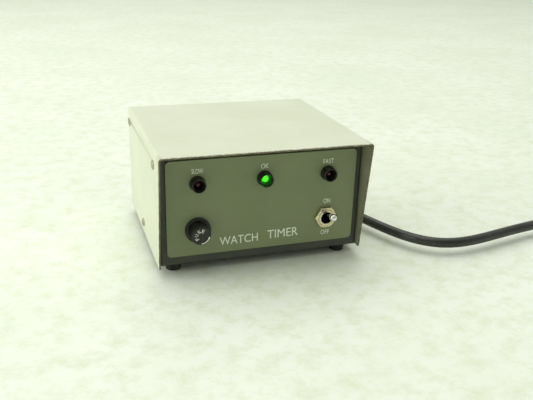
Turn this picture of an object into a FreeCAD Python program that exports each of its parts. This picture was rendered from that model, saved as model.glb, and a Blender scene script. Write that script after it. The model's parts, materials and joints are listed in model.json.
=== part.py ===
"""Bench watch timer with three result lamps: a folded steel case, its front panel fittings,
the power supply and measuring board inside, and the mains cord. Millimetres.

X runs to the right along the front, Y runs to the back and Z is up. The shapes are drawn with
x = 0 on the middle of the front, y = 0 on the chassis's front face and z = 0 on the bench. They
are moved as they are saved, so that the origin of the saved parts is the middle of the front
left foot's contact face. A shape that only cuts runs a little past what it cuts.
"""

import FreeCAD, Part
import math
import os

from FreeCAD import Vector

# Housing: the outer cover and the chassis inside it
CASE_WIDTH = 140.0
CASE_TOP = 83.0
CASE_BOTTOM = 6.0
CASE_REAR = 118.0
COVER_OVERHANG_TOP = 14.0
COVER_OVERHANG_BOTTOM = 4.0
SHEET = 1.2
COVER_BEND = 2.0
CHASSIS_GAP = 0.3
CHASSIS_BEND = 1.5
CHASSIS_DEPTH = 116.5
FLANGE_DEPTH = 12.0
SIDE_FLANGE = (20.0, 97.0)
SIDE_FLANGE_TOP = 20.0

# Front plate, and where its fittings stand
PLATE_WIDTH = 128.0
PLATE_Z = (12.4, 76.7)
PLATE_CORNER = 3.0
COLUMN = 44.0
LAMP_ROW = 61.2
CONTROL_ROW = 30.0

# M3 fasteners: the screw runs free in a nut's or flange's thread by half of this difference
M3_SHANK_D = 2.9
M3_THREAD_D = 3.0
M3_CLEAR_D = 3.4
M3_HEAD_D = 6.0
M3_HEAD_H = 2.0
M3_NUT_AF = 5.5
M3_NUT_H = 2.4
SCREW_BELOW = 7.0

# Cover screws on each side, as (y, z)
COVER_SCREWS = [(6.0, 73.3), (110.5, 73.3), (56.5, 14.1)]
COVER_SCREW_LENGTH = 5.0
COVER_HEAD_H = 1.1

# Feet
FOOT_X = 58.5
FOOT_FRONT_Y = 9.0
FOOT_REAR_Y = 107.5
FOOT_TOP_D = 11.0
FOOT_BOTTOM_D = 9.6
FOOT_RECESS_D = 6.4
FOOT_RECESS = 3.4
FOOT_SCREW_LENGTH = 7.6

# Lamps
BEZEL_D = 10.4
BEZEL_FRONT_D = 9.0
BEZEL_FRONT = -7.0
BEZEL_MOUTH_R = 3.9
BEZEL_NECK_D = 7.9
BEZEL_REAR = 9.0
LAMP_HOLE_D = 8.2
LED_D = 5.0
LED_BASE = 4.4
LED_LENGTH = 8.6
LED_FLANGE_D = 5.8
LEAD_PITCH = 2.54
LEAD_END = 15.0

# Fuse holder
FUSE_FLANGE_D = 16.8
FUSE_FLANGE_FRONT = -3.4
FUSE_BARREL_D = 15.0
FUSE_BARREL_REAR = 40.0
FUSE_HOLE_D = 15.2
FUSE_BORE_D = 11.7
FUSE_BORE_END = 12.0
FUSE_D = 6.35
FUSE_LENGTH = 31.8
FUSE_FRONT = -3.0
CAP_D = 12.6
CAP_FRONT = -11.7
CAP_GAP = 0.1
CAP_SKIRT_D = 11.6
CAP_SKIRT_REAR = 8.0
LUG_R = 6.8
LUG_WIDTH = 2.0
LUG_Y = (4.0, 5.5)
LUG_GROOVE_R = 6.95
LUG_GROOVE = (1.0, 5.8)
LUG_CLEARANCE = 0.2
FUSE_END_WALL = 5.0
FUSE_STEM_R = 1.5
FUSE_STEM_HOLE_R = 1.6
FUSE_BED_R = FUSE_D / 2 + 1.0
TAG_LENGTH = 8.0
SIDE_RING_Y = (18.0, 20.5)
SIDE_RING_T = 0.8
SIDE_TAG_LENGTH = 7.0
CAP_POCKET_R = 4.6
CLIP_R = 4.5
CLIP_REAR = 7.5
GRIP_GROOVES = 24
FUSE_NUT_AF = 18.5
FUSE_NUT_H = 4.0
FUSE_CAP_LENGTH = 6.0
FUSE_TUBE_R = (2.2, 2.8)
FUSE_WIRE_R = 0.12
FUSE_AT = (-COLUMN, CONTROL_ROW)

# Toggle switch: its pivot sits inside the bushing, and the lever rests tipped up
SWITCH_PIVOT_Y = 2.0
LEVER_TILT = 15.0
LEVER_REACH = 19.5
LEVER_BALL_R = 3.0
LEVER_NECK_R = 1.55
LEVER_NECK_END = 10.5
LEVER_TIP_R = 2.6
LEVER_TAIL_R = 1.6
LEVER_TAIL_END = 8.0
LEVER_PIN_R = 0.6
PIVOT_CLEARANCE = 0.05
PLUNGER_R = 1.0
PLUNGER_REACH = 10.2
BUSHING_D = 11.9
BUSHING_FRONT = -4.3
BUSHING_REAR = 5.0
BUSHING_MOUTH_R = 4.1
BUSHING_BORE_R = 3.15
SWITCH_HOLE_D = 12.3
SWITCH_NUT_AF = 14.0
SWITCH_NUT_BORE_D = 12.0
SWITCH_NUT_H = 2.6
LOCK_WASHER_D = 17.0
LOCK_WASHER_H = 0.6
SWITCH_FRAME_REAR = 6.0
SWITCH_HALF_WIDTH = 8.6
SWITCH_HALF_HEIGHT = 14.4
SWITCH_REAR = 24.0
SWITCH_WALL = 1.6
ROCKER_PIVOT_Y = 17.0
ROCKER_TILT = 8.0
ROCKER_HALF_LENGTH = 10.0
ROCKER_FACES = (13.4, 14.6)
ROCKER_HALF_WIDTH = 3.0
FULCRUM_R = 1.5
TERMINAL_PITCH = 9.0
TERMINAL_END = 31.0
TERMINAL_HALF_WIDTH = 2.4
TERMINAL_HALF_THICKNESS = 0.5
SWITCH_AT = (COLUMN, CONTROL_ROW)

# Mains transformer, standing with its laminations along Y
TRANSFORMER_X = 42.0
TRANSFORMER_Y = 78.0
CORE_BOTTOM = 7.4
CORE_HEIGHT = 40.0
CORE_HALF_LENGTH = 24.0
CORE_HALF_STACK = 8.5
CORE_LEG_HALF = 8.0
CORE_WINDOW = 8.0
COIL_HALF_WIDTH = 20.0
BRACKET_SHEET = 1.0
BRACKET_FOOT = 10.0
BRACKET_HALF_WIDTH = 6.0

# Measuring board
BOARD_X = (-62.0, 12.0)
BOARD_Y = (34.0, 104.0)
BOARD_Z = (15.2, 16.8)
BOARD_INSET = 5.0
STANDOFF_AF = 6.0
TRIMMER_PLACES = [(-54.0, 49.0), (-54.0, 61.0)]
TRIMMER_SIDE = 9.6
TRIMMER_TOP = 24.8
ROTOR_D = 6.0
ROTOR_TOP = 25.8
ROTOR_SEAT = 21.8
CHIP_PLACES = [(-21.0, 56.0), (-21.0, 80.0), (-6.0, 56.0), (-6.0, 80.0)]
CHIP_LEGS = 8
RESISTOR_COLUMNS = (-43.0, -31.0)
RESISTOR_FIRST_Y = 48.0
RESISTOR_PITCH = 3.6
RESISTORS_EACH = 6
CAPACITOR_PLACES = [(-50.0, 87.0), (-32.0, 93.0), (4.0, 50.0)]
CAPACITOR_SIZES = [(8.0, 25.0), (6.3, 20.0), (4.0, 12.0)]
RECTIFIER_LEG_Y = (71.5, 75.5, 79.5, 83.5)
REGULATOR_X = -12.0
CONNECTOR_SIZE = (6.0, 5.0, 8.0)
LAMP_CONNECTORS = [(-30.0, 38.0), (-16.0, 38.0), (-2.0, 38.0)]
POWER_CONNECTOR = (6.0, 62.0)
PICKUP_CONNECTOR = (-56.0, 71.0)

# Wiring: each wire stops short of what it is soldered or plugged to
WIRE_GAP = 0.1
MAINS_WIRE_R = 0.9
LAMP_PAIR_R = 1.5
THIN_PAIR_R = 1.2
EARTH_SCREW = (20.0, 109.0)
EARTH_TAG_H = 0.8

# Rear panel: the mains cord's entry and the pickup socket
CORD_ENTRY = (52.0, 20.0)
CORD_HOLE_D = 12.5
CORD_D = 7.0
PICKUP_PLACE = (-46.0, 40.0)
PICKUP_THREAD_D = 9.5
PICKUP_HOLE_D = 9.7
PICKUP_BORE_D = 6.5
PICKUP_DEPTH = 18.0
PICKUP_BLOCK_HALF = 8.0
PICKUP_THREAD_END = 122.0

# Mains cord's bends along the bench, and the plug that ends it
CORD_END_INSIDE = 108.0
CORD_STRAIGHT = 18.5
CORD_BENDS = [
    (52.0, 136.0, 20.0),
    (54.0, 156.0, 16.0),
    (77.0, 162.0, 10.0),
    (90.0, 144.0, 8.2),
    (86.0, 112.0, 8.0),
    (84.0, 84.0, 8.0),
    (86.0, 56.0, 8.0),
    (93.0, 32.0, 8.5),
    (104.0, 1.0, 8.5),
    (121.0, -20.0, 8.5),
    (147.0, -23.0, 8.5),
    (178.0, -15.0, 8.5),
    (208.0, -9.5, 8.5),
]
PLUG_START = (236.0, -3.0, 8.5)
PLUG_HEADING = 17.0
PLUG_NECK_LENGTH = 16.0
PLUG_NECK_R = 5.0
PLUG_BODY_LENGTH = 26.0
PLUG_HALF_WIDTH = 12.5
PLUG_HALF_HEIGHT = 8.0
BLADE_SPACING = 12.7
BLADE_LENGTH = 17.0
BLADE_WIDTH = 6.3
BLADE_THICKNESS = 1.5

# Sizes that follow from those above
INNER_HALF = CASE_WIDTH / 2 - SHEET
CHASSIS_HALF = INNER_HALF - CHASSIS_GAP
CHASSIS_TOP = CASE_TOP - SHEET - 0.4
FLOOR = CASE_BOTTOM + SHEET
REAR_INSIDE = CHASSIS_DEPTH - SHEET
FEET = [(x, y) for x in (-FOOT_X, FOOT_X) for y in (FOOT_FRONT_Y, FOOT_REAR_Y)]
LAMPS = [-COLUMN, 0.0, COLUMN]
TO_ORIGIN = Vector(FOOT_X, -FOOT_FRONT_Y, 0)
BRACKET_SPAN = CORE_HALF_LENGTH + BRACKET_SHEET + BRACKET_FOOT / 2
TRANSFORMER_SCREWS = [(TRANSFORMER_X, TRANSFORMER_Y + s * BRACKET_SPAN) for s in (-1, 1)]
CONNECTOR_TOP = BOARD_Z[1] + CONNECTOR_SIZE[2]
COIL_TOP = CORE_BOTTOM + CORE_HEIGHT - CORE_LEG_HALF - 0.2
STANDOFFS = [
    (x, y)
    for x in (BOARD_X[0] + BOARD_INSET, BOARD_X[1] - BOARD_INSET)
    for y in (BOARD_Y[0] + BOARD_INSET, BOARD_Y[1] - BOARD_INSET)
]


# Basic shapes

def block(x, y, z):
    """A box from its (low, high) pair along each axis."""
    corner = Vector(x[0], y[0], z[0])
    return Part.makeBox(x[1] - x[0], y[1] - y[0], z[1] - z[0], corner)


def rod(radius, start, end):
    """A round bar between two points."""
    along = Vector(*end) - Vector(*start)
    return Part.makeCylinder(radius, along.Length, Vector(*start), along)


def turned(profile, axis_at=(0.0, 0.0)):
    """A solid turned about a line along Y through (x, z), from (radius, y) points."""
    x, z = axis_at
    points = [Vector(x + radius, y, z) for radius, y in profile]
    face = Part.Face(Part.makePolygon(points + points[:1]))
    return face.revolve(Vector(x, 0, z), Vector(0, 1, 0), 360)


def tube(outer_r, inner_r, y, axis_at):
    """A ring or pipe along Y through (x, z)."""
    low, high = y
    profile = [(inner_r, low), (outer_r, low), (outer_r, high), (inner_r, high)]
    return turned(profile, axis_at)


def hexagon(across_flats, y, axis_at):
    """A hexagonal bar along Y through (x, z), with two corners level with its middle."""
    x, z = axis_at
    corner = across_flats / math.sqrt(3)
    turns = [math.radians(60 * i) for i in range(6)]
    points = [Vector(x + corner * math.cos(a), y[0], z + corner * math.sin(a)) for a in turns]
    face = Part.Face(Part.makePolygon(points + points[:1]))
    return face.extrude(Vector(0, y[1] - y[0], 0))


def fused(shapes):
    """One solid from shapes that join."""
    return shapes[0].multiFuse(shapes[1:]).removeSplitter()


def moved(shape, x=0.0, y=0.0, z=0.0):
    copy = shape.copy()
    copy.translate(Vector(x, y, z))
    return copy


def aimed(shape, point, direction):
    """A shape drawn along +Z at the origin, placed at a point and turned to a direction."""
    copy = shape.copy()
    turn = FreeCAD.Rotation(Vector(0, 0, 1), Vector(*direction))
    copy.Placement = FreeCAD.Placement(Vector(*point), turn)
    return copy


def wire_run(bends, radius, straight=0.0):
    """A round flexible wire that eases towards each bend point without reaching it.

    It leaves its first point towards the second, and reaches its last point from the one before.
    It can run straight for a length before it first bends.
    """
    bends = [Vector(*p) for p in bends]
    begin = bends[0]
    first = (bends[1] - begin).normalize()
    bends[0] = begin + first * straight
    curve = Part.BSplineCurve()
    curve.buildFromPoles(bends)
    ring = Part.Wire(Part.Circle(bends[0], first, radius).toShape())
    sweep = Part.Wire(curve.toShape()).makePipeShell([ring], True, False)
    wire = Part.Solid(sweep.Shells[0])
    if straight:
        wire = fused([rod(radius, begin, bends[0]), wire])
    return wire


def rounded_slab(x, z, corner, y):
    """A flat plate across Y with round corners."""
    slab = block(x, y, z)
    upright = [e for e in slab.Edges if abs(e.tangentAt(e.FirstParameter).y) > 0.99]
    return slab.makeFillet(corner, upright)


def pan_screw(length, head=M3_HEAD_H):
    """An M3 pan head screw. Its head stands on z = 0, and its shank points down."""
    rim = 0.45 * head
    r = M3_HEAD_D / 2
    crown = Part.Arc(Vector(r, 0, rim), Vector(0.8 * r, 0, 0.82 * head), Vector(0, 0, head))
    shank = M3_SHANK_D / 2
    path = [(0, head), (0, -length), (shank, -length), (shank, 0), (r, 0), (r, rim)]
    sides = Part.makePolygon([Vector(x, 0, z) for x, z in path])
    outline = Part.Wire(sides.Edges + [crown.toShape()])
    screw = Part.Face(outline).revolve(Vector(0, 0, 0), Vector(0, 0, 1), 360)
    slot_half = 0.35
    slot_reach = 0.55 * r
    slot = (0.4 * head, head)
    across = block((-slot_reach, slot_reach), (-slot_half, slot_half), slot)
    along = block((-slot_half, slot_half), (-slot_reach, slot_reach), slot)
    return screw.cut(fused([across, along]))


def m3_nut(x, y, z):
    """An M3 nut that stands on height z."""
    nut = hexagon(M3_NUT_AF, (0.0, M3_NUT_H), (0.0, 0.0))
    nut = nut.cut(rod(M3_THREAD_D / 2, (0, -1, 0), (0, M3_NUT_H + 1, 0)))
    nut.rotate(Vector(0, 0, 0), Vector(1, 0, 0), 90)
    return moved(nut, x, y, z)


# Housing

def cover():
    """The U-shaped outer cover, with its front edges raked back towards the bottom."""
    half = CASE_WIDTH / 2
    length = (-COVER_OVERHANG_TOP, CASE_REAR)
    outside = block((-half, half), length, (CASE_BOTTOM, CASE_TOP))
    top_edges = [
        e for e in outside.Edges
        if abs(e.tangentAt(e.FirstParameter).y) > 0.99 and e.CenterOfMass.z > CASE_TOP - 1
    ]
    outside = outside.makeFillet(COVER_BEND, top_edges)
    through = (-COVER_OVERHANG_TOP - 1, CASE_REAR + 1)
    inside = block((-INNER_HALF, INNER_HALF), through, (CASE_BOTTOM - 5, CASE_TOP - SHEET))
    inner_edges = [
        e for e in inside.Edges
        if abs(e.tangentAt(e.FirstParameter).y) > 0.99 and e.CenterOfMass.z > CASE_TOP - 5
    ]
    inside = inside.makeFillet(COVER_BEND - SHEET, inner_edges)
    rake = Part.makePolygon([
        Vector(-half - 1, -COVER_OVERHANG_TOP, CASE_TOP),
        Vector(-half - 1, -COVER_OVERHANG_BOTTOM, CASE_BOTTOM),
        Vector(-half - 1, -COVER_OVERHANG_TOP - 1, CASE_BOTTOM),
        Vector(-half - 1, -COVER_OVERHANG_TOP, CASE_TOP),
    ])
    wedge = Part.Face(rake).extrude(Vector(CASE_WIDTH + 2, 0, 0))
    holes = [rod(M3_CLEAR_D / 2, (-half - 1, y, z), (half + 1, y, z)) for y, z in COVER_SCREWS]
    return outside.cut(fused([inside, wedge])).cut(Part.makeCompound(holes)).removeSplitter()


def chassis():
    """The dark inner chassis: floor, front and rear walls, and flanges for the cover's screws."""
    wide = (-CHASSIS_HALF, CHASSIS_HALF)
    tall = (CASE_BOTTOM, CHASSIS_TOP)
    walls = [
        block(wide, (0.0, CHASSIS_DEPTH), (CASE_BOTTOM, FLOOR)),
        block(wide, (0.0, SHEET), tall),
        block(wide, (REAR_INSIDE, CHASSIS_DEPTH), tall),
    ]
    for side in ((-CHASSIS_HALF, -CHASSIS_HALF + SHEET), (CHASSIS_HALF - SHEET, CHASSIS_HALF)):
        walls.append(block(side, (0.0, SHEET + FLANGE_DEPTH), tall))
        walls.append(block(side, (REAR_INSIDE - FLANGE_DEPTH, CHASSIS_DEPTH), tall))
        walls.append(block(side, SIDE_FLANGE, (CASE_BOTTOM, SIDE_FLANGE_TOP)))
    shell = fused(walls)
    bends = [e for e in shell.Edges if is_outer_bend(e)]
    shell = shell.makeFillet(CHASSIS_BEND, bends)
    return shell.cut(Part.makeCompound(chassis_holes()))


def is_outer_bend(edge):
    """Whether an edge is where the front or rear wall folds into the floor or a flange."""
    middle = edge.CenterOfMass
    along = edge.tangentAt(edge.FirstParameter)
    on_wall = middle.y < 0.01 or middle.y > CHASSIS_DEPTH - 0.01
    at_side = abs(abs(middle.x) - CHASSIS_HALF) < 0.01 and abs(along.z) > 0.99
    at_floor = abs(middle.z - CASE_BOTTOM) < 0.01 and abs(along.x) > 0.99
    return on_wall and (at_side or at_floor)


def chassis_holes():
    thread = M3_THREAD_D / 2
    clear = M3_CLEAR_D / 2
    wide = CHASSIS_HALF + 1
    holes = [rod(thread, (-wide, y, z), (wide, y, z)) for y, z in COVER_SCREWS]
    below = FEET + TRANSFORMER_SCREWS + STANDOFFS + [EARTH_SCREW]
    holes += [rod(clear, (x, y, CASE_BOTTOM - 1), (x, y, FLOOR + 1)) for x, y in below]
    holes += panel_holes(-1.0, SHEET + 1)
    rear = (REAR_INSIDE - 1, CHASSIS_DEPTH + 1)
    for (x, z), diameter in ((CORD_ENTRY, CORD_HOLE_D), (PICKUP_PLACE, PICKUP_HOLE_D)):
        holes.append(rod(diameter / 2, (x, rear[0], z), (x, rear[1], z)))
    return holes


def panel_holes(y_low, y_high):
    """The holes for the lamps, the fuse holder and the switch, between two depths."""
    places = [(x, LAMP_ROW, LAMP_HOLE_D) for x in LAMPS]
    places += [(-COLUMN, CONTROL_ROW, FUSE_HOLE_D), (COLUMN, CONTROL_ROW, SWITCH_HOLE_D)]
    return [rod(d / 2, (x, y_low, z), (x, y_high, z)) for x, z, d in places]


def front_plate():
    """The painted plate on the chassis's front, with round corners."""
    half = PLATE_WIDTH / 2
    plate = rounded_slab((-half, half), PLATE_Z, PLATE_CORNER, (-SHEET, 0.0))
    return plate.cut(Part.makeCompound(panel_holes(-SHEET - 1, 1.0)))


def cover_screws():
    screw = pan_screw(COVER_SCREW_LENGTH, COVER_HEAD_H)
    half = CASE_WIDTH / 2
    return [aimed(screw, (s * half, y, z), (s, 0, 0)) for s in (-1, 1) for y, z in COVER_SCREWS]


def rubber_feet():
    """Four tapered feet, each with a recess for its screw's head."""
    foot = Part.makeCone(FOOT_BOTTOM_D / 2, FOOT_TOP_D / 2, CASE_BOTTOM)
    edge = [e for e in foot.Edges if e.CenterOfMass.z < 0.01 and e.Length > FOOT_BOTTOM_D]
    foot = foot.makeFillet(0.4, edge)
    foot = foot.cut(rod(M3_CLEAR_D / 2, (0, 0, -1), (0, 0, CASE_BOTTOM + 1)))
    foot = foot.cut(rod(FOOT_RECESS_D / 2, (0, 0, -1), (0, 0, FOOT_RECESS)))
    return [moved(foot, x, y) for x, y in FEET]


def foot_screws():
    """Long screws up through the feet and the floor. Their heads sit in the feet's recesses."""
    screw = pan_screw(FOOT_SCREW_LENGTH)
    return [aimed(screw, (x, y, FOOT_RECESS), (0, 0, -1)) for x, y in FEET]


def m3_screws():
    """Short screws: up through the floor into the nuts and standoffs, and down into the board."""
    below = TRANSFORMER_SCREWS + [EARTH_SCREW]
    long_screw = pan_screw(SCREW_BELOW)
    short_screw = pan_screw(4.0)
    screws = [aimed(long_screw, (x, y, CASE_BOTTOM), (0, 0, -1)) for x, y in below]
    screws += [aimed(short_screw, (x, y, CASE_BOTTOM), (0, 0, -1)) for x, y in STANDOFFS]
    screws += [moved(short_screw, x, y, BOARD_Z[1]) for x, y in STANDOFFS]
    return screws


def m3_nuts():
    """The nuts on the floor: over the feet, on the transformer's bracket and on the earth tag."""
    nuts = [m3_nut(x, y, FLOOR) for x, y in FEET]
    nuts += [m3_nut(x, y, FLOOR + BRACKET_SHEET) for x, y in TRANSFORMER_SCREWS]
    nuts.append(m3_nut(*EARTH_SCREW, FLOOR + EARTH_TAG_H))
    return nuts


# Lamps

def lamp_bezels():
    """Tapered black holders that stand proud of the plate, with a funnel mouth to each lamp."""
    bore_r = LED_D / 2 + 0.1
    rear_r = LED_FLANGE_D / 2 + 0.15
    outer = BEZEL_D / 2
    front = BEZEL_FRONT_D / 2
    lip = 0.3
    neck = BEZEL_NECK_D / 2
    profile = [
        (BEZEL_MOUTH_R, BEZEL_FRONT),
        (front - lip, BEZEL_FRONT),
        (front, BEZEL_FRONT + lip),
        (outer, -SHEET),
        (neck, -SHEET),
        (neck, BEZEL_REAR),
        (rear_r, BEZEL_REAR),
        (rear_r, LED_BASE - 1.1),
        (bore_r, LED_BASE - 1.1),
        (bore_r, BEZEL_FRONT + 3.4),
    ]
    return [turned(profile, (x, LAMP_ROW)) for x in LAMPS]


def lamp_nuts():
    """Thin hexagon nuts that hold the bezels behind the chassis's front."""
    y = (SHEET, SHEET + 2.2)
    bore = BEZEL_NECK_D / 2 + PIVOT_CLEARANCE
    cut = [rod(bore, (x, 0, LAMP_ROW), (x, 5, LAMP_ROW)) for x in LAMPS]
    return [hexagon(10.0, y, (x, LAMP_ROW)).cut(hole) for x, hole in zip(LAMPS, cut)]


def lamp(x):
    """A 5 mm domed lamp with a rim at its base."""
    r = LED_D / 2
    rim = LED_FLANGE_D / 2
    tip = LED_BASE - LED_LENGTH
    body = rod(r, (x, tip + r, LAMP_ROW), (x, LED_BASE, LAMP_ROW))
    base = rod(rim, (x, LED_BASE - 1.0, LAMP_ROW), (x, LED_BASE, LAMP_ROW))
    dome = Part.makeSphere(r, Vector(x, tip + r, LAMP_ROW))
    return fused([body, base, dome])


def lamp_retainers():
    """Push-in rings that hold the lamps against their rims."""
    y = (LED_BASE, LED_BASE + 4.0)
    return [tube(LED_FLANGE_D / 2, 2.2, y, (x, LAMP_ROW)) for x in LAMPS]


def lamp_leads():
    """Two square leads from each lamp's base."""
    h = 0.25
    leads = []
    for x in LAMPS:
        for side in (-LEAD_PITCH / 2, LEAD_PITCH / 2):
            across = (x + side - h, x + side + h)
            leads.append(block(across, (LED_BASE, LEAD_END), (LAMP_ROW - h, LAMP_ROW + h)))
    return leads


# Fuse holder, on the lower left of the plate

def fuse_holder_body():
    """The black barrel through the panel. Its mouth takes the cap, and lugs lock in its groove."""
    flange = FUSE_FLANGE_D / 2
    barrel = FUSE_BARREL_D / 2
    bore = FUSE_BORE_D / 2
    end = FUSE_BARREL_REAR
    rim = 0.7
    profile = [
        (bore, FUSE_FLANGE_FRONT),
        (flange - rim, FUSE_FLANGE_FRONT),
        (flange, FUSE_FLANGE_FRONT + rim),
        (flange, -SHEET),
        (barrel, -SHEET),
        (barrel, end),
        (FUSE_STEM_HOLE_R, end),
        (FUSE_STEM_HOLE_R, end - FUSE_END_WALL),
        (FUSE_BED_R, end - FUSE_END_WALL),
        (FUSE_BED_R, FUSE_BORE_END),
        (bore, FUSE_BORE_END),
        (bore, LUG_GROOVE[1]),
        (LUG_GROOVE_R, LUG_GROOVE[1]),
        (LUG_GROOVE_R, LUG_GROOVE[0]),
        (bore, LUG_GROOVE[0]),
    ]
    x, z = FUSE_AT
    half = LUG_WIDTH / 2 + LUG_CLEARANCE
    depth = (FUSE_FLANGE_FRONT - 1, LUG_GROOVE[0] + 1)
    entry = block((x - half, x + half), depth, (z - FUSE_FLANGE_D, z + FUSE_FLANGE_D))
    ring = rod(LUG_GROOVE_R, (x, depth[0], z), (x, depth[1], z))
    return turned(profile, FUSE_AT).cut(entry.common(ring))


def fuse_holder_nut():
    x, z = FUSE_AT
    y = (SHEET, SHEET + FUSE_NUT_H)
    hole = rod(FUSE_BARREL_D / 2 + PIVOT_CLEARANCE, (x, 0, z), (x, y[1] + 1, z))
    return hexagon(FUSE_NUT_AF, y, FUSE_AT).cut(hole)


def fuse_tip_contact():
    """The brass cup at the barrel's rear that meets the fuse, and the solder tag behind it."""
    x, z = FUSE_AT
    seat = FUSE_FRONT + FUSE_LENGTH
    end = FUSE_BARREL_REAR
    cup = rod(FUSE_D / 2, (x, seat + 0.1, z), (x, end - FUSE_END_WALL, z))
    stem = rod(FUSE_STEM_R, (x, seat + 1, z), (x, end + 1, z))
    tag = block((x - 0.4, x + 0.4), (end + 0.2, end + TAG_LENGTH), (z - 2.5, z + 2.5))
    return fused([cup, stem, tag])


def fuse_side_contact():
    """The brass ring around the barrel, with its solder tag on top."""
    x, z = FUSE_AT
    front = SIDE_RING_Y[0]
    outer = FUSE_BARREL_D / 2 + SIDE_RING_T
    ring = tube(outer, FUSE_BARREL_D / 2 + 0.02, SIDE_RING_Y, FUSE_AT)
    tall = (z + outer - 0.3, z + outer + SIDE_TAG_LENGTH)
    tag = block((x - 2.0, x + 2.0), (front, front + SIDE_RING_T), tall)
    return fused([ring, tag])


def fuse_cap():
    """The knob and skirt, with two lugs on the skirt and a pocket for the clip and the fuse."""
    x, z = FUSE_AT
    knob = CAP_D / 2
    skirt = CAP_SKIRT_D / 2
    back = FUSE_FLANGE_FRONT - CAP_GAP
    pocket_floor = FUSE_FRONT - 1.2
    profile = [
        (0.0, CAP_FRONT),
        (knob - 0.6, CAP_FRONT),
        (knob - 0.2, CAP_FRONT + 0.2),
        (knob, CAP_FRONT + 0.7),
        (knob, back),
        (skirt, back),
        (skirt, CAP_SKIRT_REAR),
        (CAP_POCKET_R, CAP_SKIRT_REAR),
        (CAP_POCKET_R, pocket_floor),
        (0.0, pocket_floor),
    ]
    half = LUG_WIDTH / 2
    band = tube(LUG_R, skirt - 0.3, LUG_Y, FUSE_AT)
    lugs = band.common(block((x - CAP_D, x + CAP_D), LUG_Y, (z - half, z + half)))
    cap = fused([turned(profile, FUSE_AT)] + lugs.Solids)
    return cap.cut(Part.makeCompound(cap_grooves(x, z)))


def cap_grooves(x, z):
    """Finger grooves along the knob's rim."""
    grooves = []
    reach = CAP_D / 2 + 0.25
    for i in range(GRIP_GROOVES):
        turn = 2 * math.pi * i / GRIP_GROOVES
        gx = x + reach * math.cos(turn)
        gz = z + reach * math.sin(turn)
        grooves.append(rod(0.5, (gx, CAP_FRONT + 1.2, gz), (gx, FUSE_FLANGE_FRONT + 1, gz)))
    return grooves


def fuse_cap_clip():
    """The brass cup in the cap that grips the fuse's front end."""
    inner = FUSE_D / 2 + 0.02
    profile = [
        (0.0, FUSE_FRONT - 1.1),
        (CLIP_R, FUSE_FRONT - 1.1),
        (CLIP_R, CLIP_REAR),
        (inner, CLIP_REAR),
        (inner, FUSE_FRONT - 0.1),
        (0.0, FUSE_FRONT - 0.1),
    ]
    return turned(profile, FUSE_AT)


def fuse_glass():
    end = FUSE_FRONT + FUSE_LENGTH
    inner, outer = FUSE_TUBE_R
    return tube(outer, inner, (FUSE_FRONT + 0.6, end - 0.6), FUSE_AT)


def fuse_end_caps():
    """Two plated caps on the glass. Each is a cup that opens towards the fuse's middle."""
    end = FUSE_FRONT + FUSE_LENGTH
    r = FUSE_D / 2
    bore = FUSE_TUBE_R[1] + PIVOT_CLEARANCE
    caps = []
    for shut, inwards in ((FUSE_FRONT, 1), (end, -1)):
        floor = shut + inwards * 0.5
        mouth = shut + inwards * FUSE_CAP_LENGTH
        profile = [(0.0, shut), (r, shut), (r, mouth), (bore, mouth), (bore, floor), (0.0, floor)]
        caps.append(turned(profile, FUSE_AT))
    return caps


def fuse_wire():
    x, z = FUSE_AT
    return rod(FUSE_WIRE_R, (x, FUSE_FRONT + 0.6, z), (x, FUSE_FRONT + FUSE_LENGTH - 0.6, z))


# Toggle switch, on the lower right of the plate

def switch_bushing():
    """The threaded bushing. Its mouth flares so that the lever can tip."""
    r = BUSHING_D / 2
    profile = [
        (BUSHING_MOUTH_R, BUSHING_FRONT),
        (r - 0.5, BUSHING_FRONT),
        (r, BUSHING_FRONT + 0.5),
        (r, BUSHING_REAR),
        (BUSHING_BORE_R, BUSHING_REAR),
        (BUSHING_BORE_R, -1.0),
    ]
    x, z = SWITCH_AT
    pin_hole = rod(LEVER_PIN_R + 0.02, (x - 9, SWITCH_PIVOT_Y, z), (x + 9, SWITCH_PIVOT_Y, z))
    return turned(profile, SWITCH_AT).cut(pin_hole)


def tipped(shape, degrees, pivot_y):
    """A shape turned about a line along X through the switch's axis. Positive tips it down."""
    copy = shape.copy()
    copy.rotate(Vector(SWITCH_AT[0], pivot_y, SWITCH_AT[1]), Vector(1, 0, 0), degrees)
    return copy


def switch_lever():
    """The bat-shaped lever with its ball and tail, tipped up to the on position."""
    y0 = SWITCH_PIVOT_Y
    tip = y0 - LEVER_REACH + LEVER_TIP_R
    x, z = SWITCH_AT
    shaft = turned(
        [
            (0.0, tip),
            (LEVER_TIP_R, tip),
            (LEVER_NECK_R, y0 - LEVER_NECK_END),
            (LEVER_NECK_R, y0),
            (LEVER_TAIL_R, y0),
            (LEVER_TAIL_R, y0 + LEVER_TAIL_END),
            (0.0, y0 + LEVER_TAIL_END),
        ],
        SWITCH_AT,
    )
    ball = Part.makeSphere(LEVER_BALL_R, Vector(x, y0, z))
    round_end = Part.makeSphere(LEVER_TIP_R, Vector(x, tip, z))
    lever = fused([shaft, ball, round_end])
    bore = rod(PLUNGER_R + 0.05, (x, y0 + 4.8, z), (x, y0 + LEVER_TAIL_END + 1, z))
    pin_hole = rod(LEVER_PIN_R + PIVOT_CLEARANCE, (x - 9, y0, z), (x + 9, y0, z))
    return tipped(lever.cut(fused([bore, pin_hole])), -LEVER_TILT, y0)


def switch_lever_pin():
    x, z = SWITCH_AT
    return rod(LEVER_PIN_R, (x - 5.5, SWITCH_PIVOT_Y, z), (x + 5.5, SWITCH_PIVOT_Y, z))


def switch_plunger():
    """The plastic plunger in the lever's tail that works the rocker."""
    x, z = SWITCH_AT
    end = SWITCH_PIVOT_Y + PLUNGER_REACH
    stem = rod(PLUNGER_R, (x, SWITCH_PIVOT_Y + 5.0, z), (x, end, z))
    nose = Part.makeSphere(PLUNGER_R, Vector(x, end, z))
    return tipped(fused([stem, nose]), -LEVER_TILT, SWITCH_PIVOT_Y)


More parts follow.
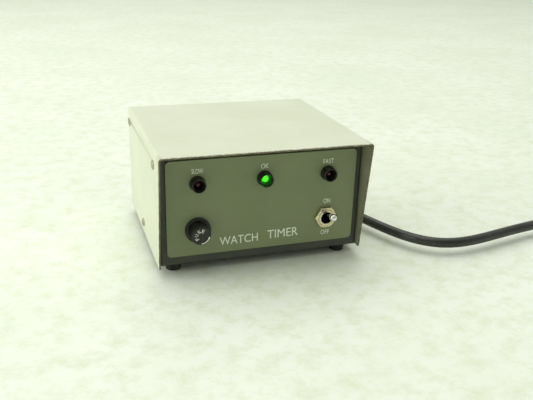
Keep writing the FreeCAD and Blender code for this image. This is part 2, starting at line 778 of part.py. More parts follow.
def switch_nuts():
    """Two hexagon nuts: a chamfered one on the plate, and one behind the chassis's front."""
    x, z = SWITCH_AT
    front = hexagon(SWITCH_NUT_AF, (-SHEET - SWITCH_NUT_H, -SHEET), SWITCH_AT)
    corner = SWITCH_NUT_AF / math.sqrt(3)
    flat = SWITCH_NUT_AF / 2
    face = -SHEET - SWITCH_NUT_H
    crown = turned(
        [(0.0, face), (flat - 0.2, face), (corner + 0.1, face + 0.9), (corner + 0.1, 0.0), (0.0, 0.0)],
        SWITCH_AT,
    )
    start = SHEET + LOCK_WASHER_H
    back = hexagon(SWITCH_NUT_AF, (start, start + 2.0), SWITCH_AT)
    hole = rod(SWITCH_NUT_BORE_D / 2, (x, -20, z), (x, 20, z))
    return [front.common(crown).cut(hole), back.cut(hole)]


def switch_lock_washer():
    """The toothed washer behind the chassis's front."""
    y = (SHEET, SHEET + LOCK_WASHER_H)
    r = LOCK_WASHER_D / 2
    washer = tube(r, SWITCH_NUT_BORE_D / 2 + 0.1, y, SWITCH_AT)
    x, z = SWITCH_AT
    gaps = []
    for i in range(12):
        turn = math.radians(30 * i)
        gaps.append(rod(0.9, (x + r * math.cos(turn), 0, z + r * math.sin(turn)),
                        (x + r * math.cos(turn), 3, z + r * math.sin(turn))))
    return washer.cut(Part.makeCompound(gaps))


def switch_frame():
    """The steel strap that holds the bushing to the switch's body."""
    x, z = SWITCH_AT
    outer = SWITCH_HALF_WIDTH + 0.9
    front = block((x - outer, x + outer), (BUSHING_REAR, SWITCH_FRAME_REAR), (z - 14.4, z + 14.4))
    arms = [
        block(sorted((x + s * (outer - 0.8), x + s * outer)), (BUSHING_REAR, 16.0), (z - 6, z + 6))
        for s in (-1, 1)
    ]
    hole = rod(3.6, (x, 0, z), (x, 10, z))
    return fused([front] + arms).cut(hole)


def switch_housing():
    """The moulded box behind the strap, with slots for the terminals."""
    x, z = SWITCH_AT
    w, h, wall = SWITCH_HALF_WIDTH, SWITCH_HALF_HEIGHT, SWITCH_WALL
    box = block((x - w, x + w), (SWITCH_FRAME_REAR, SWITCH_REAR), (z - h, z + h))
    hollow = block((x - w + wall, x + w - wall), (5.0, SWITCH_REAR - 2.0), (z - h + wall, z + h - wall))
    gap = 0.02
    slots = []
    for step in (-1, 0, 1):
        centre = z + step * TERMINAL_PITCH
        across = (x - TERMINAL_HALF_WIDTH - gap, x + TERMINAL_HALF_WIDTH + gap)
        tall = (centre - TERMINAL_HALF_THICKNESS - gap, centre + TERMINAL_HALF_THICKNESS + gap)
        slots.append(block(across, (SWITCH_REAR - 3.0, SWITCH_REAR + 1), tall))
    return box.cut(fused([hollow] + slots))


def switch_rocker():
    """The brass seesaw that closes the contacts. It rocks the other way to the lever."""
    x, z = SWITCH_AT
    w = ROCKER_HALF_WIDTH
    long = ROCKER_HALF_LENGTH
    plate = block((x - w, x + w), ROCKER_FACES, (z - long, z + long))
    saddle = block((x - w, x + w), (ROCKER_FACES[1], ROCKER_PIVOT_Y), (z - 3, z + 3))
    seat = rod(FULCRUM_R + PIVOT_CLEARANCE, (x - 9, ROCKER_PIVOT_Y, z), (x + 9, ROCKER_PIVOT_Y, z))
    return tipped(fused([plate, saddle]).cut(seat), ROCKER_TILT, ROCKER_PIVOT_Y)


def switch_terminals():
    """Two contact blades, and the middle blade whose round edge carries the rocker."""
    x, z = SWITCH_AT
    across = (x - TERMINAL_HALF_WIDTH, x + TERMINAL_HALF_WIDTH)
    t = TERMINAL_HALF_THICKNESS
    blades = []
    for step in (-1, 1):
        centre = z + step * TERMINAL_PITCH
        blade = block(across, (17.0, TERMINAL_END), (centre - t, centre + t))
        head = block(across, (16.1, 17.2), (centre - 1.5, centre + 1.5))
        blades.append(fused([blade, head]))
    edge = rod(FULCRUM_R, (across[0], ROCKER_PIVOT_Y, z), (across[1], ROCKER_PIVOT_Y, z))
    middle = block(across, (ROCKER_PIVOT_Y, TERMINAL_END), (z - t, z + t))
    blades.append(fused([edge, middle]))
    return blades


# Transformer

def transformer_core():
    """The laminated core, with a window on each side of its middle leg."""
    y, h = TRANSFORMER_Y, CORE_HALF_LENGTH
    across = (TRANSFORMER_X - CORE_HALF_STACK, TRANSFORMER_X + CORE_HALF_STACK)
    core = block(across, (y - h, y + h), (CORE_BOTTOM, CORE_BOTTOM + CORE_HEIGHT))
    yoke = CORE_LEG_HALF
    window_z = (CORE_BOTTOM + yoke, CORE_BOTTOM + CORE_HEIGHT - yoke)
    wide = (across[0] - 1, across[1] + 1)
    near = block(wide, (y - yoke - CORE_WINDOW, y - yoke), window_z)
    far = block(wide, (y + yoke, y + yoke + CORE_WINDOW), window_z)
    return core.cut(Part.makeCompound([near, far]))


def around_leg(x_half, y_half, z):
    """A block centred on the core's middle leg."""
    x = (TRANSFORMER_X - x_half, TRANSFORMER_X + x_half)
    y = (TRANSFORMER_Y - y_half, TRANSFORMER_Y + y_half)
    return block(x, y, z)


def transformer_bobbin():
    """The plastic former on the middle leg, with a cheek at each end."""
    low = CORE_BOTTOM + CORE_LEG_HALF + 0.2
    high = CORE_BOTTOM + CORE_HEIGHT - CORE_LEG_HALF - 0.2
    leg_x, leg_y = CORE_HALF_STACK, CORE_LEG_HALF
    barrel = around_leg(leg_x + 1.1, leg_y + 1.1, (low, high))
    cheek_y = CORE_LEG_HALF + CORE_WINDOW - 0.1
    cheeks = [around_leg(COIL_HALF_WIDTH, cheek_y, z) for z in ((low, low + 1.0), (high - 1.0, high))]
    leg = around_leg(leg_x + 0.1, leg_y + 0.1, (low - 1, high + 1))
    return fused([barrel] + cheeks).cut(leg)


def transformer_winding():
    """The taped winding between the bobbin's cheeks."""
    low = CORE_BOTTOM + CORE_LEG_HALF + 1.3
    high = CORE_BOTTOM + CORE_HEIGHT - CORE_LEG_HALF - 1.3
    coil = around_leg(COIL_HALF_WIDTH - 1.0, CORE_LEG_HALF + CORE_WINDOW - 0.5, (low, high))
    upright = [e for e in coil.Edges if abs(e.tangentAt(e.FirstParameter).z) > 0.99]
    coil = coil.makeFillet(4.0, upright)
    return coil.cut(around_leg(CORE_HALF_STACK + 1.15, CORE_LEG_HALF + 1.15, (low - 1, high + 1)))


def transformer_bracket():
    """The steel strap over the core, with a foot at each end."""
    x = (TRANSFORMER_X - BRACKET_HALF_WIDTH, TRANSFORMER_X + BRACKET_HALF_WIDTH)
    inner = CORE_HALF_LENGTH + 0.1
    outer = inner + BRACKET_SHEET
    y = TRANSFORMER_Y
    top = CORE_BOTTOM + CORE_HEIGHT + 0.1
    strap = [block(x, (y - outer, y + outer), (top, top + BRACKET_SHEET))]
    for near, far, toe in ((-outer, -inner, -outer - BRACKET_FOOT), (inner, outer, outer + BRACKET_FOOT)):
        strap.append(block(x, (y + near, y + far), (FLOOR, top + BRACKET_SHEET)))
        foot_y = sorted((y + toe, y + near if near < 0 else y + far))
        strap.append(block(x, foot_y, (FLOOR, FLOOR + BRACKET_SHEET)))
    holes = [rod(M3_CLEAR_D / 2, (sx, sy, 0), (sx, sy, 12)) for sx, sy in TRANSFORMER_SCREWS]
    return fused(strap).cut(Part.makeCompound(holes))


# Measuring board

def circuit_board():
    board = block(BOARD_X, BOARD_Y, BOARD_Z)
    holes = [rod(M3_CLEAR_D / 2, (x, y, 10), (x, y, 20)) for x, y in STANDOFFS]
    return board.cut(Part.makeCompound(holes))


def board_standoffs():
    """Hexagon pillars, threaded right through."""
    height = BOARD_Z[0] - FLOOR
    pillar = hexagon(STANDOFF_AF, (0.0, height), (0.0, 0.0))
    pillar = pillar.cut(rod(M3_THREAD_D / 2, (0, -1, 0), (0, height + 1, 0)))
    pillar.rotate(Vector(0, 0, 0), Vector(1, 0, 0), 90)
    return [moved(pillar, x, y, FLOOR) for x, y in STANDOFFS]


def logic_chips():
    """Four dual in-line chips with eight legs on each side."""
    top = BOARD_Z[1]
    chip_half = 3.2
    leg_x = 3.8
    chips = []
    for cx, cy in CHIP_PLACES:
        parts = [block((cx - chip_half, cx + chip_half), (cy - 9.6, cy + 9.6), (top + 0.6, top + 4.0))]
        for i in range(CHIP_LEGS):
            y = cy + (i - (CHIP_LEGS - 1) / 2) * LEAD_PITCH
            parts.append(block((cx - leg_x, cx + leg_x), (y - 0.4, y + 0.4), (top + 1.8, top + 2.1)))
            for s in (-1, 1):
                x = sorted((cx + s * (leg_x - 0.3), cx + s * leg_x))
                parts.append(block(x, (y - 0.4, y + 0.4), (top, top + 2.1)))
        chips.append(fused(parts))
    return chips


def resistors():
    """Axial resistors in two columns, each bent down to the board."""
    top = BOARD_Z[1]
    height = top + 1.6
    bodies = []
    for cx in RESISTOR_COLUMNS:
        for i in range(RESISTORS_EACH):
            y = RESISTOR_FIRST_Y + RESISTOR_PITCH * i
            parts = [rod(1.1, (cx - 3.1, y, height), (cx + 3.1, y, height))]
            parts.append(block((cx - 5.0, cx + 5.0), (y - 0.3, y + 0.3), (height - 0.3, height + 0.3)))
            for s in (-1, 1):
                x = sorted((cx + s * 4.4, cx + s * 5.0))
                parts.append(block(x, (y - 0.3, y + 0.3), (top, height + 0.3)))
            bodies.append(fused(parts))
    return bodies


def capacitors():
    """Upright electrolytic cans with rounded rims."""
    cans = []
    for (x, y), (radius, height) in zip(CAPACITOR_PLACES, CAPACITOR_SIZES):
        can = Part.makeCylinder(radius, height, Vector(x, y, BOARD_Z[1]))
        rim = [e for e in can.Edges if abs(e.CenterOfMass.z - BOARD_Z[1] - height) < 0.01]
        cans.append(can.makeFillet(0.8, rim))
    return cans


def quartz_crystal():
    """The reference crystal's oval can on its flat base."""
    top = BOARD_Z[1]
    base = block((-42.5, -31.5), (73.0, 77.6), (top, top + 0.8))
    can = block((-42.0, -32.0), (73.5, 77.1), (top + 0.8, top + 12.5))
    upright = [e for e in can.Edges if abs(e.tangentAt(e.FirstParameter).z) > 0.99]
    return fused([base, can.makeFillet(1.7, upright)])


def rectifier():
    """The bridge rectifier, an upright block on four short legs."""
    top = BOARD_Z[1]
    body = block((2.0, 6.4), (70.0, 85.0), (top + 2.0, top + 12.0))
    legs = [block((3.9, 4.5), (y - 0.4, y + 0.4), (top, top + 2.5)) for y in RECTIFIER_LEG_Y]
    return fused([body] + legs)


def voltage_regulator():
    """The regulator: a moulded body on its metal tab, with three legs."""
    top = BOARD_Z[1]
    wide = (REGULATOR_X - 5.2, REGULATOR_X + 5.2)
    tab = block(wide, (100.0, 101.2), (top + 4.0, top + 20.0))
    body = block(wide, (96.8, 100.0), (top + 4.0, top + 13.0))
    leg_x = [REGULATOR_X + i * LEAD_PITCH for i in (-1, 0, 1)]
    legs = [block((x - 0.4, x + 0.4), (98.0, 98.6), (top, top + 4.5)) for x in leg_x]
    return fused([tab, body] + legs)


def heat_sink():
    """A folded aluminium heat sink behind the regulator's tab."""
    top = BOARD_Z[1]
    tall = (top + 2.0, top + 26.0)
    half = 10.0
    sheet = 1.4
    left, right = REGULATOR_X - half, REGULATOR_X + half
    back = block((left, right), (101.2, 101.2 + sheet), tall)
    wings = [block(x, (92.0, 101.2 + sheet), tall) for x in ((left, left + sheet), (right - sheet, right))]
    return fused([back] + wings)


def trimmer_bodies():
    """The square bodies of the slow and fast limit trimmers, with round seats for the rotors."""
    bodies = []
    half = TRIMMER_SIDE / 2
    for x, y in TRIMMER_PLACES:
        body = block((x - half, x + half), (y - half, y + half), (BOARD_Z[1], TRIMMER_TOP))
        seat = rod(ROTOR_D / 2 + PIVOT_CLEARANCE, (x, y, ROTOR_SEAT), (x, y, TRIMMER_TOP + 1))
        bodies.append(body.cut(seat))
    return bodies


def trimmer_rotor(place):
    """A screwdriver-slotted rotor in its trimmer's seat."""
    x, y = place
    rotor = rod(ROTOR_D / 2, (x, y, ROTOR_SEAT + 0.02), (x, y, ROTOR_TOP))
    slot = block((x - 4, x + 4), (y - 0.5, y + 0.5), (ROTOR_TOP - 1.0, ROTOR_TOP + 1))
    return rotor.cut(slot)


def board_connectors():
    """Upright plug-in connectors for the lamps, the transformer and the pickup socket."""
    w, d, h = CONNECTOR_SIZE
    places = LAMP_CONNECTORS + [POWER_CONNECTOR, PICKUP_CONNECTOR]
    top = BOARD_Z[1]
    return [block((x - w / 2, x + w / 2), (y - d / 2, y + d / 2), (top, top + h)) for x, y in places]


# Wiring

def board_wires():
    """Pairs of thin wires, each pair drawn as one cord, that end on the board's connectors."""
    top = CONNECTOR_TOP + WIRE_GAP
    row = LAMP_ROW
    back = LEAD_END + WIRE_GAP
    runs = [
        [(-COLUMN, back, row), (-COLUMN, 26, row), (-32, 30, 50), (-30, 38, 40), (-30, 38, top)],
        [(0, back, row), (0, 26, row), (-12, 30, 50), (-16, 38, 40), (-16, 38, top)],
        [(COLUMN, back, row), (COLUMN, 28, row), (14, 30, 52), (-2, 38, 42), (-2, 38, top)],
    ]
    cords = [wire_run(bends, LAMP_PAIR_R) for bends in runs]
    cheek = COIL_TOP + WIRE_GAP
    px, py = POWER_CONNECTOR
    secondary = [(27, 66, cheek), (27, 66, cheek + 10), (10, 64, 50), (px, py, 36), (px, py, top)]
    cords.append(wire_run(secondary, THIN_PAIR_R))
    px, py = PICKUP_CONNECTOR
    sx, sz = PICKUP_PLACE
    behind = REAR_INSIDE - PICKUP_DEPTH - WIRE_GAP
    high = sz + 5
    pickup = [(sx, behind, high), (sx, 88, high), (sx - 8, 76, high + 6), (px, py, 38), (px, py, top)]
    cords.append(wire_run(pickup, THIN_PAIR_R))
    return cords


def mains_wires():
    """Single insulated wires of the mains side, and the earth wire with its tag."""
    cx, cz = CORD_ENTRY
    inside = CORD_END_INSIDE - WIRE_GAP
    fx, fz = FUSE_AT
    sx, sz = SWITCH_AT
    fuse_rear = FUSE_BARREL_REAR + TAG_LENGTH + WIRE_GAP
    tag_y = SIDE_RING_Y[0] + SIDE_RING_T / 2
    side_tag = fz + FUSE_BARREL_D / 2 + SIDE_RING_T + SIDE_TAG_LENGTH + WIRE_GAP
    blade = TERMINAL_END + WIRE_GAP
    cheek = COIL_TOP + WIRE_GAP
    upper = sz + TERMINAL_PITCH
    near = cx + 1.6
    runs = [
        [(near, inside, cz + 1), (near, 105, cz + 1), (46, 105, 46), (24, 104, 62), (0, 84, 60),
         (-34, 66, 52), (fx, 58, fz), (fx, fuse_rear, fz)],
        [(fx, tag_y, side_tag), (fx, tag_y, 52), (-28, 10, 48), (0, 10, 46), (28, 10, 48),
         (42, 28, 52), (sx, 38, upper), (sx, blade, upper)],
        [(sx, blade, sz), (sx, 42, sz), (55, 54, 42), (56, 68, 54), (56, 70, cheek + 6), (56, 70, cheek)],
        [(near, inside, cz - 1.6), (near, 104.5, cz - 1.6), (57, 104, 30), (57, 98, 52), (56, 85, 52),
         (56, 85, cheek)],
    ]
    wires = [wire_run(bends, MAINS_WIRE_R) for bends in runs]
    ex, ey = EARTH_SCREW
    to_earth = [(cx - 2, inside, cz), (cx - 2, 104.5, cz), (44, 105, 17), (34, ey, 16), (30, ey, 9.4),
                (26, ey, FLOOR + 2)]
    tag = Part.makeCylinder(4.0, EARTH_TAG_H, Vector(ex, ey, FLOOR))
    tongue = block((ex, 27.0), (ey - 1.5, ey + 1.5), (FLOOR, FLOOR + EARTH_TAG_H))
    crimp = rod(1.4, (23.8, ey, FLOOR + 1.5), (27.0, ey, FLOOR + 2.0))
    hole = rod(M3_CLEAR_D / 2, (ex, ey, 0), (ex, ey, 12))
    wires.append(fused([tag, tongue, crimp, wire_run(to_earth, MAINS_WIRE_R)]).cut(hole))
    return wires


def mains_cable():
    """The round mains cord: straight through the rear wall, then along the bench to the plug."""
    cx, cz = CORD_ENTRY
    heading = math.radians(PLUG_HEADING)
    arrives = Vector(math.cos(heading), math.sin(heading), 0)
    end = Vector(*PLUG_START) - arrives * WIRE_GAP / 2
    bends = [(cx, CORD_END_INSIDE, cz)] + CORD_BENDS + [tuple(end - arrives * 10), tuple(end)]
    return wire_run(bends, CORD_D / 2, straight=CORD_STRAIGHT)


def cable_bushing():
    """The moulded strain relief in the rear wall, ribbed outside and tapered towards the cord."""
    bore = CORD_D / 2 + 0.04
    neck = CORD_HOLE_D / 2 - 0.05
    profile = [
        (bore, REAR_INSIDE - 4.0),
        (neck + 1.2, REAR_INSIDE - 2.5),
        (neck + 1.2, REAR_INSIDE),
        (neck, REAR_INSIDE),
        (neck, CHASSIS_DEPTH),
        (8.0, CHASSIS_DEPTH),
        (8.0, CHASSIS_DEPTH + 2.0),
        (bore + 1.4, CHASSIS_DEPTH + 5.0),
    ]
    ribs = 2
    pitch = 1.6
    tail = CHASSIS_DEPTH + 5.0
    for i in range(ribs):
        start = tail + pitch * i
        middle = start + pitch / 2
        profile += [(bore + 0.8, start), (bore + 0.8, middle)]
        profile += [(bore + 1.3, middle), (bore + 1.3, start + pitch)]
    profile.append((bore, tail + pitch * ribs))
    return turned(profile, CORD_ENTRY)


def pickup_socket():
    """The socket for the watch stand's lead: a threaded metal sleeve on a moulded block."""
    x, z = PICKUP_PLACE
    half = PICKUP_BLOCK_HALF
    y = (REAR_INSIDE - PICKUP_DEPTH, REAR_INSIDE)
    body = block((x - half, x + half), y, (z - half, z + half))
    upright = [e for e in body.Edges if abs(e.tangentAt(e.FirstParameter).y) > 0.99]
    body = body.makeFillet(1.5, upright)
    sleeve = rod(PICKUP_THREAD_D / 2, (x, REAR_INSIDE - 1, z), (x, PICKUP_THREAD_END, z))
    bore = rod(PICKUP_BORE_D / 2, (x, y[0] + 2.0, z), (x, PICKUP_THREAD_END + 1, z))
    return fused([body, sleeve]).cut(bore)


def pickup_nut():
    y = (CHASSIS_DEPTH, CHASSIS_DEPTH + 2.4)
    x, z = PICKUP_PLACE
    hole = rod(PICKUP_THREAD_D / 2 + PIVOT_CLEARANCE, (x, 100, z), (x, 130, z))
    return hexagon(12.0, y, PICKUP_PLACE).cut(hole)


# Plug, drawn along +X from the end of the cord and then turned to the cord's heading

def headed(shape):
    copy = shape.copy()
    copy.rotate(Vector(0, 0, 0), Vector(0, 0, 1), PLUG_HEADING)
    copy.translate(Vector(*PLUG_START))
    return copy


def plug_section(x, half_width, half_height):
    """A rounded outline across the plug at a distance along it."""
    corner = 0.72 * min(half_width, half_height)
    slab = rounded_slab((-half_width, half_width), (-half_height, half_height), corner, (0.0, 1.0))
    face = min(slab.Faces, key=lambda f: f.CenterOfMass.y)
    outline = face.OuterWire.copy()
    outline.rotate(Vector(0, 0, 0), Vector(0, 0, 1), -90)
    outline.translate(Vector(x, 0, 0))
    return outline


def plug_body():
    """The moulded plug: a slim neck on the cord that swells into a flat grip."""
    neck = PLUG_NECK_LENGTH
    full = PLUG_NECK_LENGTH + PLUG_BODY_LENGTH
    sections = [
        plug_section(0.0, PLUG_NECK_R, PLUG_NECK_R),
        plug_section(0.7 * neck, PLUG_NECK_R + 0.6, PLUG_NECK_R + 0.4),
        plug_section(neck + 6.0, 0.86 * PLUG_HALF_WIDTH, 0.84 * PLUG_HALF_HEIGHT),
        plug_section(neck + 14.0, 0.9 * PLUG_HALF_WIDTH, 0.9 * PLUG_HALF_HEIGHT),
        plug_section(full, PLUG_HALF_WIDTH, PLUG_HALF_HEIGHT),
    ]
    body = Part.makeLoft(sections, True, False)
    grooves = []
    for i in range(4):
        x = 2.0 + 3.0 * i
        ring = Part.makeCylinder(9.0, 1.0, Vector(x, 0, 0), Vector(1, 0, 0))
        grooves.append(ring.cut(Part.makeCylinder(4.6, 1.0, Vector(x, 0, 0), Vector(1, 0, 0))))
    return headed(body.cut(Part.makeCompound(grooves)))


def plug_blades():
    """Two flat blades with a round hole near each tip."""
    start = PLUG_NECK_LENGTH + PLUG_BODY_LENGTH
    blades = []
    for s in (-1, 1):
        y = s * BLADE_SPACING / 2
        t, h = BLADE_THICKNESS / 2, BLADE_WIDTH / 2
        blade = block((start, start + BLADE_LENGTH), (y - t, y + t), (-h, h))
        tips = [e for e in blade.Edges if abs(e.tangentAt(e.FirstParameter).y) > 0.99]
        tips = [e for e in tips if e.CenterOfMass.x > start + 1]
        blade = blade.makeFillet(1.5, tips)
        hole = rod(1.6, (start + 13.0, y - 3, 0), (start + 13.0, y + 3, 0))
        blades.append(headed(blade.cut(hole)))
    return blades


def nodes():
    """Every piece by its name: one solid, or a list of separate solids."""
    return {
        "cover": cover(),
        "chassis": chassis(),
        "front_plate": front_plate(),
        "cover_screws": cover_screws(),
        "rubber_feet": rubber_feet(),
        "foot_screws": foot_screws(),
        "m3_screws": m3_screws(),
        "m3_nuts": m3_nuts(),
        "lamp_bezels": lamp_bezels(),
        "lamp_nuts": lamp_nuts(),
        "lamp_left": lamp(-COLUMN),
        "lamp_centre": lamp(0.0),
        "lamp_right": lamp(COLUMN),
        "lamp_retainers": lamp_retainers(),
        "lamp_leads": lamp_leads(),
        "fuse_holder_body": fuse_holder_body(),
        "fuse_holder_nut": fuse_holder_nut(),
        "fuse_tip_contact": fuse_tip_contact(),
        "fuse_side_contact": fuse_side_contact(),
        "fuse_cap": fuse_cap(),
        "fuse_cap_clip": fuse_cap_clip(),
        "fuse_glass": fuse_glass(),
        "fuse_end_caps": fuse_end_caps(),
        "fuse_wire": fuse_wire(),
        "switch_bushing": switch_bushing(),
        "switch_lever": switch_lever(),
        "switch_lever_pin": switch_lever_pin(),
        "switch_plunger": switch_plunger(),
        "switch_nuts": switch_nuts(),
        "switch_lock_washer": switch_lock_washer(),
        "switch_frame": switch_frame(),
        "switch_housing": switch_housing(),
        "switch_rocker": switch_rocker(),
        "switch_terminals": switch_terminals(),
        "transformer_core": transformer_core(),
        "transformer_bobbin": transformer_bobbin(),
        "transformer_winding": transformer_winding(),
        "transformer_bracket": transformer_bracket(),
        "circuit_board": circuit_board(),
        "board_standoffs": board_standoffs(),
        "logic_chips": logic_chips(),
        "resistors": resistors(),
        "capacitors": capacitors(),
        "quartz_crystal": quartz_crystal(),
        "rectifier": rectifier(),
        "voltage_regulator": voltage_regulator(),
        "heat_sink": heat_sink(),
        "trimmer_bodies": trimmer_bodies(),
        "trimmer_rotor_slow": trimmer_rotor(TRIMMER_PLACES[0]),
        "trimmer_rotor_fast": trimmer_rotor(TRIMMER_PLACES[1]),
        "board_connectors": board_connectors(),
        "board_wires": board_wires(),
        "mains_wires": mains_wires(),
        "mains_cable": mains_cable(),
        "cable_bushing": cable_bushing(),
        "pickup_socket": pickup_socket(),
        "pickup_nut": pickup_nut(),
        "plug_body": plug_body(),
        "plug_blades": plug_blades(),
    }


def save(name, piece):
    """Writes one piece as parts/NAME.step, in the saved parts' own frame."""
    solids = piece if isinstance(piece, list) else [piece]
    shape = Part.makeCompound([s for part in solids for s in part.Solids])
    shape.translate(TO_ORIGIN)
    shape.exportStep(f"parts/{name}.step")


os.makedirs("parts", exist_ok=True)
for node, made in nodes().items():
    save(node, made)
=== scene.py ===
"""Looks for the bench watch timer: materials, panel lettering, threads, the moulded plug and a plain studio.

Everything is in metres, in the CAD frame: X to the right along the front, Y to the back and Z up.
Sizes written in millimetres are turned into metres by MM.
"""

import json
import math

import bpy
from mathutils import Matrix, Vector


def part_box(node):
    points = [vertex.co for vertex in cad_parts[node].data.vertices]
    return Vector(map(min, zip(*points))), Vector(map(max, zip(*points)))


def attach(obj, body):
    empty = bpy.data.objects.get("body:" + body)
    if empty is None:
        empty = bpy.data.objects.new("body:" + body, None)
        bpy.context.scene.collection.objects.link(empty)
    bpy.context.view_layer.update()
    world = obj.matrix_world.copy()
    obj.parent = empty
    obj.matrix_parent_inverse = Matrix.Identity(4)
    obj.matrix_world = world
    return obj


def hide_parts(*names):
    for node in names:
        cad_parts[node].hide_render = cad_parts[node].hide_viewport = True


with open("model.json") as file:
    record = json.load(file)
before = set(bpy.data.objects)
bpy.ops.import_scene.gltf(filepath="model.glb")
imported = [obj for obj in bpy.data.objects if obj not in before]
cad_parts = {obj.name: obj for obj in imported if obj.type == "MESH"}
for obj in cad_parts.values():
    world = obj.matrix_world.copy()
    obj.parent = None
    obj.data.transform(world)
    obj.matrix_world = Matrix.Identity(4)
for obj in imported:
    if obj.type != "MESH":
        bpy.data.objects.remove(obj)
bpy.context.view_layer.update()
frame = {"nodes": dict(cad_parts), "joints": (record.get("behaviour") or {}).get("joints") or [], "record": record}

MM = 0.001

# Where the main parts are, from the frame
COVER_LOW, COVER_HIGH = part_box("cover")
PLATE_LOW, PLATE_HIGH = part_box("front_plate")
CAP_FRONT_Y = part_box("fuse_cap")[0].y
LAMP_BOXES = {side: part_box("lamp_" + side) for side in ("left", "centre", "right")}
MIDDLE_X = (COVER_LOW.x + COVER_HIGH.x) / 2
MOUNTS = {mount["name"]: mount for mount in frame["record"]["mounts"]}
JOINTS = {joint["name"]: joint for joint in frame["joints"]}
SWITCH_CENTRE = Vector(JOINTS["switch_lever_tilt"]["pos_m"])
CAP_CENTRE = Vector(JOINTS["fuse_cap_turn"]["pos_m"])

# The switch bushing's flared mouth and its bore
BUSHING_MOUTH_R = 4.1 * MM
BUSHING_BORE_R = 3.15 * MM

# Width in millimetres of the small rounds on each part's sharp edges
ROUNDED_EDGES = {"cover": 0.3, "front_plate": 0.25, "chassis": 0.3, "switch_nuts": 0.25}

# Lettering
INK_HEIGHT = 0.06 * MM
INK_SUNK = 0.01 * MM
SMALL_LETTER = 3.3 * MM


# Materials

def rgb(red, green, blue):
    """A colour as a screen shows it, from 0 to 255, turned into the linear values a shader takes."""
    def linear(value):
        share = value / 255
        return share / 12.92 if share <= 0.04045 else ((share + 0.055) / 1.055) ** 2.4
    return (linear(red), linear(green), linear(blue), 1.0)


